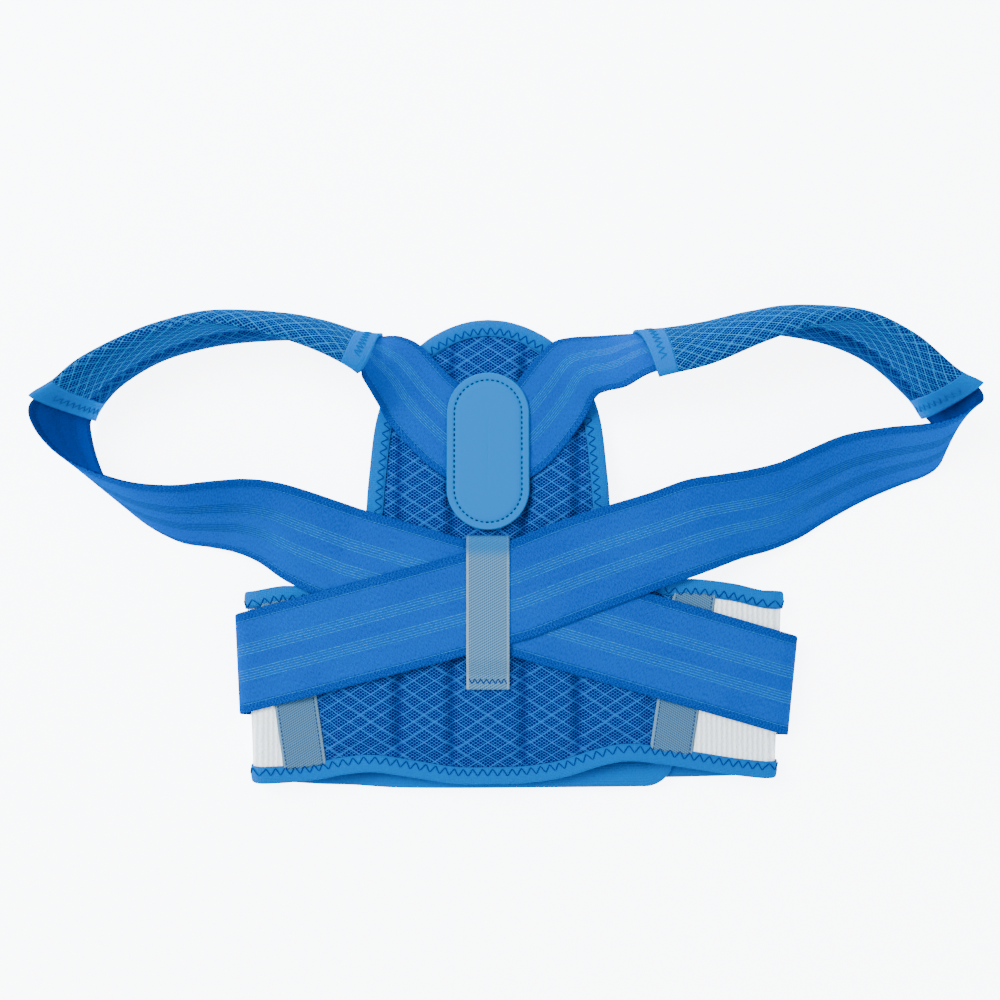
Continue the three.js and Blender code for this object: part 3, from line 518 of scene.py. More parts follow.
def ring_angles(count):
    return np.linspace(0, 2 * math.pi, count + 1)[:-1]


# Places at given distances along a line whose points lie at other known distances
def places_on(line, along, at):
    return np.stack([np.interp(at, along, line[:, k]) for k in range(line.shape[1])], axis=-1)


# The belt's hem and top edges, with the wing's end corners rounded
def end_inset(reach):
    past = np.maximum(WING_CORNER_RADIUS - (WING_REACH - reach), 0)
    return WING_CORNER_RADIUS - np.sqrt(np.maximum(WING_CORNER_RADIUS**2 - past**2, 0))


def belt_share(kind, side, reach):
    return look_up(BELT_EDGES["reach"], BELT_EDGES[f"{kind}_{side}"], reach / WING_REACH)


def hem_at(side, reach):
    return belt_share("hem", side, reach) * BELT_HEIGHT + end_inset(reach)


def top_at(side, reach):
    return belt_share("top", side, reach) * BELT_HEIGHT - end_inset(reach)


# The sheet of the panel and wings: its inner face, and a place at a height off that face
def underside(y):
    down = np.maximum(y - YOKE_DROP_START, 0) / (PANEL_HEIGHT - YOKE_DROP_START)
    return PANEL_LIFT - YOKE_DROP * down**YOKE_DROP_POWER


def on_one_side(side, reach, y, off):
    fold = SIDES[side]["fold"] + (y - BELT_MIDDLE) * math.tan(math.radians(FOLD_TILT))
    past = reach - fold
    wrap = math.pi * FOLD_RADIUS
    fade = np.maximum(1 - np.maximum(y, 0) / BUCKLE_RUN, 0) ** 2
    buckle = belt_share("buckle", side, reach) * HOLLOW_HEIGHT * fade
    turn = np.clip(past / FOLD_RADIUS, 0, math.pi)
    behind = fold - (past - wrap)
    done = 2 * RIGHT_FOLD_REACH + math.pi * FOLD_RADIUS - WING_REACH - RISE_LEAD
    climb = WING_RISE * smooth(-behind, done - RISE_RUN, done) if side == "left" else 0
    turned = np.where(past < wrap, fold + (FOLD_RADIUS + off) * np.sin(turn), behind)
    out = np.where(past <= 0, reach, turned)
    bent = FOLD_MIDDLE + (FOLD_RADIUS + off) * np.cos(turn)
    flat = underside(y) + buckle + off
    z = np.where(past <= 0, flat, np.where(past < wrap, bent, WING_LEVEL + climb - off))
    return np.stack([SIDES[side]["sign"] * out, y + 0 * out, z], axis=-1)


def on_sheet(x, y, off):
    x, y, off = np.broadcast_arrays(np.asarray(x, float), y, off)
    left = on_one_side("left", -x, y, off)
    right = on_one_side("right", x, y, off)
    return np.where((x < 0)[..., None], left, right)


# The flat cut's top and hem lines from the middle out to the seam, at counted columns of the table
def panel_lines(side, count):
    yoke, flare, rise, hem = (PANEL_COLUMNS[name] for name in ("yoke", "flare", "rise", "hem"))
    top_reach = yoke * YOKE_HALF_WIDTH + flare * (SEAM_TOP_REACH - YOKE_HALF_WIDTH)
    hem_reach = hem * SEAM_HEM_REACH
    seam_top = top_at(side, SEAM_TOP_REACH)
    top = seam_top + (PANEL_HEIGHT - seam_top) * rise
    for back in (WEBBING_WIDTH / 2, 0):
        top_reach = np.append(top_reach, SEAM_TOP_REACH - back)
        hem_reach = np.append(hem_reach, SEAM_HEM_REACH - back)
        top = np.append(top, top_at(side, SEAM_TOP_REACH - back))
    index = np.arange(len(top), dtype=float)
    at = np.linspace(0, len(top) - 1, count)
    top_reach, hem_reach, top = (look_up(index, line, at) for line in (top_reach, hem_reach, top))
    return top_reach, top, hem_reach, hem_at(side, hem_reach)


# Distances out from the seam to the wing's end, close together round its corner
def wing_reaches(start, count, corner_count):
    tail = WING_REACH - WING_CORNER_RADIUS * (1 - np.sin(np.linspace(0, math.pi / 2, corner_count)))
    return np.concatenate([np.linspace(start, tail[0], count)[:-1], tail])


# The whole outline of the flat cut as a closed path with even steps, signed x to the side
def outline(step):
    def half(side):
        top_reach, top, hem_reach, _ = panel_lines(side, OUTLINE_STATIONS)
        hem_wing, top_wing = (
            wing_reaches(seam, OUTLINE_STATIONS, OUTLINE_CORNER_STATIONS)
            for seam in (SEAM_HEM_REACH, SEAM_TOP_REACH)
        )
        hem_line = np.concatenate([hem_reach[:-1], hem_wing])
        top_line = np.concatenate([top_reach[:-1], top_wing])
        top = np.concatenate([top[:-1], top_at(side, top_wing)])
        sign = SIDES[side]["sign"]
        hems = np.stack([sign * hem_line, hem_at(side, hem_line)], axis=-1)
        return hems, np.stack([sign * top_line, top], axis=-1)

    left_hem, left_top = half("left")
    right_hem, right_top = half("right")
    path = np.concatenate([left_hem[:0:-1], right_hem, right_top[::-1], left_top[1:], left_hem[-1:]])
    along = lengths(path)
    kept = np.concatenate([[True], np.diff(along) > SAME_PLACE])
    path, along = path[kept], along[kept]
    at = np.arange(0, along[-1], step)
    return places_on(path, along, at), at


def inward_of(path):
    along = unit(np.roll(path, -2, axis=0) - np.roll(path, 2, axis=0))
    return np.stack([-along[:, 1], along[:, 0]], axis=-1)


# How far the garment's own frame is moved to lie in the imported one
def shift_of_frame():
    low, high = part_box("back_patch")
    tab_low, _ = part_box("left_shoulder_strap")
    return np.array([(low.x + high.x) / 2, low.y - PATCH_FOOT, tab_low.z])


def add_object(name, data):
    item = bpy.data.objects.new(name, data)
    bpy.context.scene.collection.objects.link(item)
    return item


# The row and column of each cell in a grid
def cells(rows, columns):
    i, j = np.meshgrid(np.arange(rows), np.arange(columns), indexing="ij")
    return i.ravel(), j.ravel()


# A smooth mesh over a grid whose columns join round, and its rows as well where it is closed
def mesh_piece(name, grid, uv, closed, materials, slot_of_column=None):
    rows, columns = grid.shape[:2]
    i, j = cells(rows if closed else rows - 1, columns)
    corners = ((i, j), (i + 1, j), (i + 1, j + 1), (i, j + 1))
    faces = np.stack([(a % rows) * columns + (b % columns) for a, b in corners], axis=-1)
    loop_uv = np.stack([uv[a, b] for a, b in corners], axis=1)
    points = (grid + SHIFT).reshape(-1, 3)
    a, b, c = (points[faces[:, k]] for k in (0, 1, 2))
    if np.einsum("ij,ij->", a, np.cross(b, c)) < 0:
        faces = faces[:, ::-1]
        loop_uv = loop_uv[:, ::-1]
    mesh = bpy.data.meshes.new(name)
    mesh.vertices.add(len(points))
    mesh.vertices.foreach_set("co", points.astype(np.float32).ravel())
    mesh.loops.add(faces.size)
    mesh.loops.foreach_set("vertex_index", faces.astype(np.int32).ravel())
    mesh.polygons.add(len(faces))
    mesh.polygons.foreach_set("loop_start", (np.arange(len(faces)) * len(corners)).astype(np.int32))
    layer = mesh.uv_layers.new(name="weave")
    layer.data.foreach_set("uv", loop_uv.astype(np.float32).ravel())
    for material in materials:
        mesh.materials.append(material)
    if slot_of_column is not None:
        mesh.polygons.foreach_set("material_index", slot_of_column[j].astype(np.int32))
    mesh.polygons.foreach_set("use_smooth", np.ones(len(faces), bool))
    mesh.update(calc_edges=True)
    mesh.validate()
    return add_object(name, mesh)


# Places of a grid on the flat cloth, from the distances of its rows and its columns
def flat_places(along, across):
    return np.stack(np.broadcast_arrays(along[:, None], across), axis=-1)


# Repeats the first column and row after the last, for a mesh that joins round both ways
def joined(uv):
    uv = np.concatenate([uv, uv[:, :1]], axis=1)
    return np.concatenate([uv, uv[:1]])


# Closes the two ends of a grid by drawing each in to its middle
def capped(grid):
    first, last = (row.mean(axis=1, keepdims=True).repeat(grid.shape[1], 1) for row in (grid[:1], grid[-1:]))
    return np.concatenate([first, grid, last])


# A cloth shell from its outer and inner faces, joined along both edges and capped at both ends
def shell(name, outer, inner, uv, materials):
    grid = capped(np.concatenate([outer, inner[:, ::-1]], axis=1))
    wide = np.concatenate([uv, uv[:, ::-1], uv[:, :1]], axis=1)
    wide = np.concatenate([wide[:1], wide, wide[-1:]])
    count = outer.shape[1]
    slots = (np.arange(2 * count) >= count - 1).astype(int) if len(materials) > 1 else None
    return mesh_piece(name, grid, wide, False, materials, slots)


# Stitches: many short thread tubes in one mesh, each from a polyline of points
def threads(name, lines, material, radius=THREAD_RADIUS):
    turns = ring_angles(THREAD_SIDES)
    rings, faces = [], []
    start = 0
    for line in lines:
        along = unit(np.gradient(line, axis=0))
        side = unit(np.cross(along, THREAD_SLANT))
        up = np.cross(side, along)
        ring = side[:, None] * np.cos(turns)[None, :, None] + up[:, None] * np.sin(turns)[None, :, None]
        shrink = np.ones(len(line))
        shrink[[0, -1]] = THREAD_END_SHARE
        rings.append((line[:, None] + radius * shrink[:, None, None] * ring).reshape(-1, 3))
        i, j = cells(len(line) - 1, THREAD_SIDES)
        corners = ((i, j), (i, j + 1), (i + 1, j + 1), (i + 1, j))
        faces.append(np.stack([start + a * THREAD_SIDES + b % THREAD_SIDES for a, b in corners], axis=-1))
        start += len(rings[-1])
    points = np.concatenate(rings) + SHIFT
    faces = np.concatenate(faces)
    mesh = bpy.data.meshes.new(name)
    mesh.from_pydata(points.tolist(), [], faces.tolist())
    mesh.materials.append(material)
    mesh.polygons.foreach_set("use_smooth", np.ones(len(faces), bool))
    return add_object(name, mesh)


# How far through its swing a zigzag is, from 0 to 1, at each of its points
def zigzag(count):
    return np.abs((np.arange(count) / (2 * LEG_STEPS)) % 1 - 0.5) * 2


# Points across a width for a zigzag, whose legs each take a given run
def zigzag_lanes(width, margin, run):
    count = int((width - 2 * margin) / run)
    return np.linspace(margin - width / 2, width / 2 - margin, count * LEG_STEPS + 1)


# Cuts a zigzag into its straight legs
def legs(points):
    starts = range(0, len(points) - LEG_STEPS, LEG_STEPS)
    return [points[start : start + LEG_STEPS + 1] for start in starts]


# A screen colour, from 0 to 255, as linear shares of light
def colour(red, green, blue):
    def linear(value):
        share = value / 255
        return share / 12.92 if share <= 0.04045 else ((share + 0.055) / 1.055) ** 2.4

    return (linear(red), linear(green), linear(blue), 1)


# The same for a dyed cloth, darkened so that the bright lights leave it blue
def dyed(red, green, blue):
    return tuple(DYE_SHARE * value for value in colour(red, green, blue)[:3]) + (1,)


def matt(name, roughness):
    material = bpy.data.materials.new(name)
    material.use_nodes = True
    shader = material.node_tree.nodes["Principled BSDF"]
    shader.inputs["Roughness"].default_value = roughness
    shader.inputs["Specular IOR Level"].default_value = 0
    return material, shader


def plain(name, shade, roughness):
    material, shader = matt(name, roughness)
    shader.inputs["Base Color"].default_value = shade
    return material


# A value in a cloth's node tree; sums and products of values are values too
class Value:
    def __init__(self, cloth, socket):
        self.cloth = cloth
        self.socket = socket

    def __add__(self, other):
        return self.cloth.math("ADD", self, other)

    def __sub__(self, other):
        return self.cloth.math("SUBTRACT", self, other)

    def __mul__(self, other):
        return self.cloth.math("MULTIPLY", self, other)


# A cloth material built from values; u runs along the piece and v across it, in metres
class Cloth:
    def __init__(self, name, roughness, sheen=0.0):
        self.material, self.shader = matt(name, roughness)
        self.shader.inputs["Sheen Weight"].default_value = sheen
        self.tree = self.material.node_tree
        uv = self.tree.nodes.new("ShaderNodeUVMap")
        uv.uv_map = "weave"
        parts = self.tree.nodes.new("ShaderNodeSeparateXYZ")
        self.place = Value(self, uv.outputs[0])
        self.link(self.place, parts.inputs[0])
        self.u, self.v = (Value(self, parts.outputs[axis]) for axis in "XY")

    def link(self, source, target):
        if isinstance(source, Value):
            self.tree.links.new(source.socket, target)
        else:
            target.default_value = source

    def math(self, operation, *values):
        node = self.tree.nodes.new("ShaderNodeMath")
        node.operation = operation
        for value, socket in zip(values, node.inputs):
            self.link(value, socket)
        return Value(self, node.outputs[0])

    def wave(self, value, pitch):
        return self.math("SINE", value * (2 * math.pi / pitch)) * 0.5 + 0.5

    def saw(self, value, pitch):
        return self.math("FRACT", value * (1 / pitch))

    def ridge(self, value, pitch):
        return self.math("ABSOLUTE", self.saw(value, pitch) - 0.5) * 2

    # Rises smoothly from 0 at the start to 1 at the end
    def step(self, value, start, end):
        node = self.tree.nodes.new("ShaderNodeMapRange")
        node.interpolation_type = "SMOOTHSTEP"
        self.link(start, node.inputs["From Min"])
        self.link(end, node.inputs["From Max"])
        self.link(value, node.inputs["Value"])
        return Value(self, node.outputs["Result"])

    def band(self, value, start, end, soft):
        return self.step(value, start - soft, start + soft) * self.step(value, end + soft, end - soft)

    # Two bands side by side
    def pair(self, value, spans, soft):
        first, second = (self.band(value, start, end, soft) for start, end in spans)
        return first + second

    # Rises towards both edges of a width of 1
    def edges(self, share, start, end):
        return self.step(share, start, end) + self.step(share, 1 - start, 1 - end)

    def noise(self, along, across, detail):
        mapping = self.tree.nodes.new("ShaderNodeMapping")
        mapping.inputs["Scale"].default_value = (along, across, 1)
        self.link(self.place, mapping.inputs["Vector"])
        node = self.tree.nodes.new("ShaderNodeTexNoise")
        node.inputs["Scale"].default_value = 1
        node.inputs["Detail"].default_value = detail
        self.link(Value(self, mapping.outputs[0]), node.inputs["Vector"])
        return Value(self, node.outputs[0])

    # Noise whose range from start to end is spread from 0 to 1
    def patches(self, along, across, detail, start, end):
        return self.step(self.noise(along, across, detail), start, end)

    def blend(self, share, low, high):
        node = self.tree.nodes.new("ShaderNodeMix")
        node.data_type = "RGBA"
        self.link(share, node.inputs["Factor"])
        self.link(low, node.inputs[MIX_LOW])
        self.link(high, node.inputs[MIX_HIGH])
        return Value(self, node.outputs[MIX_RESULT])

    def finish(self, base, height, depth):
        bump = self.tree.nodes.new("ShaderNodeBump")
        bump.inputs["Distance"].default_value = depth
        bump.inputs["Strength"].default_value = 1
        self.link(base, self.shader.inputs["Base Color"])
        self.link(height, bump.inputs["Height"])
        self.link(Value(self, bump.outputs[0]), self.shader.inputs["Normal"])
        return self.material


# Air mesh: small dark holes in diamonds, between bars that have none; painted shade darkens the quilted
# channels and a sleeve's lower lip and crease
def air_mesh(name, bar, ground, hole, pitch, wide, tall, bar_share, hole_size, channel_shadows=(), shaded_lip=None):
    cloth = Cloth(name, MESH_ROUGHNESS)
    row = pitch * HOLE_ROW_SHARE

    def spot(shift):
        across = (cloth.saw(cloth.u + shift * row, row) - 0.5) * HOLE_ROW_SHARE
        along = cloth.saw(cloth.v + shift * pitch, pitch) - 0.5
        return cloth.math("SQRT", across * across + along * along)

    distance = cloth.math("MINIMUM", spot(0), spot(0.5))
    slant = cloth.v * (wide / tall)
    waver = (cloth.noise(*BAR_WAVER_NOISE) - 0.5) * BAR_WAVER
    rising = cloth.ridge(cloth.u + slant + waver, wide)
    falling = cloth.ridge(cloth.u - slant + waver, wide)
    line = cloth.step(cloth.math("MAXIMUM", rising, falling), 1 - bar_share, 1 - bar_share / 2)
    holes = cloth.step(distance - (line * -HOLE_LOSS_ON_BARS + hole_size), HOLE_SOFTNESS, -HOLE_SOFTNESS)
    body = cloth.blend(line, ground, bar)
    body = cloth.blend(cloth.noise(*FUZZ_NOISE) * FUZZ_SHADE, body, hole)
    base = cloth.blend(holes * HOLE_SHADE, body, hole)
    # Painted shade darkens the quilted channels
    for channel in channel_shadows:
        low, high = channel - CHANNEL_HALF, channel + CHANNEL_HALF
        valley_shade = cloth.band(cloth.math("ABSOLUTE", cloth.u), low, high, CHANNEL_SOFTNESS)
        base = cloth.blend(valley_shade * CHANNEL_PAINTED_SHADE, base, hole)
    # Painted shade over the sleeve's lower lip, darkest along the crease line
    if shaded_lip is not None:
        shaded = cloth.band(cloth.v, shaded_lip[0], shaded_lip[1], LIP_SOFTNESS)
        crease = cloth.band(cloth.v, shaded_lip[1] - LIP_LINE_HALF, shaded_lip[1] + LIP_LINE_HALF, LIP_SOFTNESS)
        base = cloth.blend(shaded * LIP_PAINTED_SHADE + crease * CREASE_LINE_PAINTED_SHADE, base, hole)
    return cloth.finish(base, line + holes * -HOLE_DEPTH, MESH_BUMP)


# Elastic: knitted borders, fine ribs in two groups and satin fields between them, with painted highlights
# (glints) on the ribs, rails and weave
def elastic(name, field, dark, shade, light, inner=False):
    cloth = Cloth(name, ELASTIC_ROUGHNESS)
    share = cloth.v * (1 / STRAP_WIDTH)
    border = cloth.edges(share, *ELASTIC_BORDER)
    knit = cloth.wave(cloth.u + cloth.math("PINGPONG", cloth.v, KNIT_SWING), KNIT_PITCH)
    weave = cloth.wave(cloth.u, ELASTIC_WEFT_PITCH) * cloth.wave(cloth.v, WARP_PITCH)
    groups = cloth.pair(share, RIB_GROUPS, RIB_GROUP_SOFTNESS)
    ribs = cloth.step(cloth.wave(cloth.v, RIB_PITCH), *RIB_RANGE) * groups
    rails = cloth.pair(share, RAILS, RAIL_SOFTNESS)
    broken, fade, grain, speck = (cloth.patches(*values) for values in ELASTIC_NOISES.values())
    relaxed = cloth.band(cloth.u, *RELAXED_RUN, RELAXED_SOFTNESS)
    # Glints: painted highlights along the ribs and rails
    glint = (ribs * RIB_GLINT + rails * RAIL_GLINT) * (broken * (1 - GLINT_FLOOR) + GLINT_FLOOR)
    # The inner face gets weaker glints, as painted shade, and the relaxed run loses some too
    glint = glint * (INNER_GLINT if inner else 1.0) * (relaxed * -RELAXED_GLINT_LOSS + 1)
    base = cloth.blend(fade * FADE_SHADE, field, dark)
    base = cloth.blend(grain * GRAIN_SHADE, base, shade)
    base = cloth.blend(border * (knit * KNIT_SHADE + speck) * BORDER_SHADE, base, shade)
    base = cloth.blend(groups * relaxed * (RELAXED_SHADE_INNER if inner else RELAXED_SHADE), base, shade)
    # The weave's crossings and the glints are painted highlights in the light colour
    base = cloth.blend(weave * WEAVE_GLINT, base, light)
    base = cloth.blend(glint, base, light)
    height = border * (knit * KNIT_HEIGHT + BORDER_HEIGHT) + ribs * RIB_HEIGHT + weave * WEAVE_HEIGHT
    return cloth.finish(base, height, ELASTIC_BUMP)


def tape_cloth(name, light, dark):
    cloth = Cloth(name, TAPE_ROUGHNESS)
    weave = cloth.wave(cloth.u, TAPE_WEFT_PITCH) * cloth.wave(cloth.v, WARP_PITCH)
    mottle = cloth.noise(*MOTTLE_NOISE)
    base = cloth.blend(mottle * MOTTLE_SHADE, light, dark)
    base = cloth.blend(weave * TAPE_WEAVE_SHADE, base, dark)
    return cloth.finish(base, weave + mottle, TAPE_BUMP)


def twill_webbing(name, light, dark, edge, tint=None, tinted=(0, 0)):
    cloth = Cloth(name, WEBBING_ROUGHNESS)
    twill = cloth.wave(cloth.u + cloth.v * TWILL_SLOPE, TWILL_PITCH)
    pattern = (twill + cloth.wave(cloth.v, CORD_PITCH) * CORD_SHARE) * TWILL_SHARE
    selvedge = cloth.edges(cloth.v * (1 / WEBBING_WIDTH), *SELVEDGE)
    base = cloth.blend(pattern, dark, light)
    base = cloth.blend(selvedge * SELVEDGE_SHADE, base, edge)
    if tint is not None:
        base = cloth.blend(cloth.band(cloth.u, *tinted, TINT_SOFTNESS) * TINT_SHADE, base, tint)
    return cloth.finish(base, pattern, WEBBING_BUMP)


def ribbed_fleece(name, light, dark):
    cloth = Cloth(name, FLEECE_ROUGHNESS, FLEECE_SHEEN)
    waver = (cloth.noise(*FLEECE_WAVER_NOISE) - 0.5) * FLEECE_WAVER
    rib = cloth.wave(cloth.u + waver, FLEECE_RIB_PITCH)
    height = rib * FLEECE_RIB_SHARE + cloth.noise(*FLUFF_NOISE) * FLUFF_SHARE
    # Painted shadow: the rib valleys and low fluff are darker than the tops
    base = cloth.blend(cloth.step(height, *FLEECE_SHADOW_RANGE), dark, light)
    return cloth.finish(base, height, FLEECE_BUMP)


def leather(name, light, dark):
    cloth = Cloth(name, LEATHER_ROUGHNESS)
    grain = cloth.noise(*LEATHER_NOISE)
    base = cloth.blend(grain * LEATHER_SHADE, light, dark)
    return cloth.finish(base, grain, LEATHER_BUMP)


# How thick the quilted panel is, from its distance to the outline
def panel_thickness(x, y, path):
    near = np.full(x.shape, np.inf)
    for start in range(0, len(path), PATH_CHUNK):
        part = path[start : start + PATH_CHUNK]
        gap = (x[..., None] - part[:, 0]) ** 2 + (y[..., None] - part[:, 1]) ** 2
        near = np.minimum(near, gap.min(axis=-1))
    seam = SEAM_HEM_REACH + (SEAM_TOP_REACH - SEAM_HEM_REACH) * y / BELT_HEIGHT
    to_seam = seam - np.abs(x) - WEBBING_WIDTH / 2 + TAPE_COVER - CROWN_SEAM_GAP
    flat = TAPE_COVER + CROWN_START
    full = smooth(np.minimum(np.sqrt(near), to_seam), flat, flat + CROWN_RUN)
    lines = [line * YOKE_HALF_WIDTH for line in QUILT_LINES]
    valleys = sum(np.exp(-(((np.abs(x) - line) / QUILT_WIDTH) ** 2)) for line in lines)
    crown = CROWN_THICKNESS - SHEET_THICKNESS - QUILT_DEPTH * np.minimum(valleys, 1)
    return SHEET_THICKNESS + full * crown


def back_panel(material):
    share = np.linspace(0, 1, PANEL_LANES)
    halves = []
    for side in ("left", "right"):
        top_reach, top, hem_reach, hem = panel_lines(side, PANEL_STATIONS)
        x = SIDES[side]["sign"] * part_way(hem_reach[:, None], top_reach[:, None], share)
        y = part_way(hem[:, None], top[:, None], share)
        halves.append(np.stack([x, y], axis=-1))
    places = np.concatenate([halves[0][:0:-1], halves[1]])
    x, y = places[..., 0], places[..., 1]
    thickness = panel_thickness(x, y, outline(CROWN_PATH_STEP)[0])
    piece = shell("panel", on_sheet(x, y, thickness), on_sheet(x, y, 0), places, [material])
    return piece


def waist_wing(side, material):
    share = np.linspace(0, 1, WING_LANES)
    hem_reach, top_reach = (
        wing_reaches(seam + CLEARANCE, WING_STATIONS, WING_CORNER_STATIONS)
        for seam in (SEAM_HEM_REACH, SEAM_TOP_REACH)
    )
    hem, top = hem_at(side, hem_reach), top_at(side, top_reach)
    reach = part_way(hem_reach[:, None], top_reach[:, None], share)
    y = part_way(hem[:, None], top[:, None], share)
    outer, inner = (on_sheet(SIDES[side]["sign"] * reach, y, off) for off in (SHEET_THICKNESS, 0))
    piece = shell(f"{side}_wing", outer, inner, np.stack([reach, y], axis=-1), [material])
    return piece


def edge_binding(material, thread):
    path, along = outline(BINDING_STEP)
    part = TAPE_SECTION
    inset = part["cover"] * TAPE_COVER + part["turn"] * TAPE_TURN
    inset = inset - part["face"] * TAPE_OFFSET - part["gap"] * CLEARANCE
    off = part["sheet"] * SHEET_THICKNESS + part["rise"] * TAPE_OFFSET
    off = off + part["clear"] * CLEARANCE + part["puff"] * TAPE_PUFF
    end = smooth(-path[:, 0], *END_TAPE_REACHES) * smooth(path[:, 1], *END_TAPE_HEIGHTS)
    wider = 1 + END_TAPE_GAIN * end[:, None] * ((part["cover"] == 1) & (off < 0))
    at = path[:, None] + inward_of(path)[:, None] * (inset * wider)[..., None]
    pucker = TAPE_RIPPLE * np.cos(4 * math.pi * along / ZIGZAG_PITCH)
    grid = on_sheet(at[..., 0], at[..., 1], off + part["ripple"] * pucker[:, None])
    uv = joined(flat_places(along, lengths(np.stack([inset, off], axis=-1))))
    piece = mesh_piece("binding", grid, uv, True, [material])
    fine, _ = outline(ZIGZAG_PITCH / (2 * LEG_STEPS))
    inset = TAPE_COVER - TAPE_ZIGZAG_GAP - ZIGZAG_WIDTH * zigzag(len(fine))
    at = fine + inward_of(fine) * inset[:, None]
    points = on_sheet(at[:, 0], at[:, 1], SHEET_THICKNESS + TAPE_OFFSET + TAPE_THREAD_LIFT)
    stitches = threads("binding_stitches", legs(points[:-1]), thread)
    return piece, stitches


def seam_webbing(side, material, thread):
    half = WEBBING_WIDTH / 2
    across = np.linspace(-half, half, SEAM_LANES)
    share = np.linspace(0, 1, SEAM_STATIONS)
    tucked = TAPE_COVER - TAPE_LAP

    def grid(off, lanes):
        low = hem_at(side, SEAM_HEM_REACH + lanes) + tucked
        high = top_at(side, SEAM_TOP_REACH + lanes) - tucked
        reach = part_way(SEAM_HEM_REACH, SEAM_TOP_REACH, share[:, None]) + lanes
        return on_sheet(SIDES[side]["sign"] * reach, part_way(low, high, share[:, None]), off)

    bottom = SHEET_THICKNESS + CLEARANCE
    edge = np.minimum(1, (half - np.abs(across)) / WEBBING_RIM + SEAM_RIM_SHARE)
    outer = grid(bottom + WEBBING_THICKNESS * edge, across)
    uv = flat_places(share * BELT_HEIGHT, across + half)
    piece = shell(f"{side}_webbing", outer, grid(bottom, across), uv, [material])
    lines = []
    for lane in (-half + SEAM_STITCH_INSET, half - SEAM_STITCH_INSET):
        row = grid(bottom + WEBBING_THICKNESS, np.array([lane]))[:, 0]
        lines += dashes(row, *SEAM_STITCH)
    stitches = threads(f"{side}_webbing_stitches", lines, thread, SEAM_THREAD_RADIUS)
    return piece, stitches


# Cuts a line into stitches that dip into the cloth at both ends
def dashes(line, pitch, space):
    along = lengths(line)
    cuts = []
    for start in np.arange(0, along[-1] - pitch, pitch):
        points = places_on(line, along, np.linspace(start, start + pitch - space, len(STITCH_ARCH)))
        points[:, 2] += STITCH_RISE * np.array(STITCH_ARCH)
        cuts.append(points)
    return cuts


# The middle surface of a strap as rows of points, x running out to the strap's own side
def strap_surface(route):
    loop = route["loop"]
    share = 0.5 - 0.5 * np.cos(np.linspace(0, math.pi, STRAP_LANES))
    last = len(loop["out"]) - 1
    index = np.arange(last + 1, dtype=float)
    at = np.linspace(0, last, last * LOOP_STEPS + 1)
    row = {name: look_up(index, values, at) for name, values in loop.items()}
    foot = np.stack([row["out"] * LOOP_REACH, row["up"] * PANEL_HEIGHT, row["lift"] * STRAP_WIDTH], axis=-1)
    across = np.stack([row["over"], row["rise"], row["stand"]], axis=-1) * STRAP_WIDTH
    outward = unit(np.cross(across, np.gradient(foot, axis=0))) * (row["belly"] * STRAP_WIDTH)[:, None]
    free = foot[:, None] + across[:, None] * share[None, :, None]
    free = free + outward[:, None] * (4 * share * (1 - share))[None, :, None]
    slope = math.radians(route["slope"])
    ends = SIDES[route["ends"]]
    tilt = math.radians(ends["strap_tilt"])
    start = foot[-1, :2]
    along = np.array([-math.cos(slope), -math.sin(slope)])
    cross = np.array([-math.sin(slope), math.cos(slope)]) * STRAP_WIDTH
    normal = np.array([-math.cos(tilt), -math.sin(tilt)])
    fold_place = np.array([-ends["strap_fold"], BELT_MIDDLE])
    wrap = math.pi * STRAP_FOLD_RADIUS
    begin = min(-(edge - fold_place) @ normal / (along @ normal) for edge in (start, start + cross))
    distance = np.linspace(0, begin + STRAP_TAB_LENGTH + wrap, STRAP_STATIONS)[1:]
    flat = start + distance[:, None, None] * along + share[None, :, None] * cross
    past = (flat - fold_place) @ normal
    ride = look_up(route["ride"]["out"], route["ride"]["share"], flat[..., 0] / LOOP_REACH)
    height = part_way(STRAP_FOLD_LEVEL, route["level"], ride)
    turn = np.clip(past, 0, wrap) / STRAP_FOLD_RADIUS
    back = np.where(past > 0, -past + STRAP_FOLD_RADIUS * np.sin(turn) - np.maximum(past - wrap, 0), 0)
    folded = flat + back[..., None] * normal
    z = np.where(past > 0, TAB_LEVEL + STRAP_FOLD_RADIUS * (1 + np.cos(turn)), height)
    rows = np.concatenate([free, np.concatenate([folded, z[..., None]], axis=-1)])
    normals = unit(np.cross(np.gradient(rows, axis=1), np.gradient(rows, axis=0)))
    along = lengths(rows[:, STRAP_LANES // 2])
    return {"rows": rows, "normals": normals, "share": share, "along": along}


def mirrored(points, sign):
    return points * np.array([sign, 1, 1])


def shoulder_strap(side, surface, materials):
    rim = np.minimum(surface["share"], 1 - surface["share"]) * STRAP_WIDTH
    half = STRAP_THICKNESS / 2
    profile = half * np.sqrt(np.clip(1 - (1 - np.clip(rim / half, 0, 1)) ** 2, STRAP_RIM_SHARE, 1))
    lift = surface["normals"] * profile[None, :, None]
    uv = flat_places(surface["along"], surface["share"] * STRAP_WIDTH)
    outer, inner = (mirrored(surface["rows"] + face * lift, SIDES[side]["sign"]) for face in (1, -1))
    piece = shell(f"{side}_strap", outer, inner, uv, materials)
    return piece


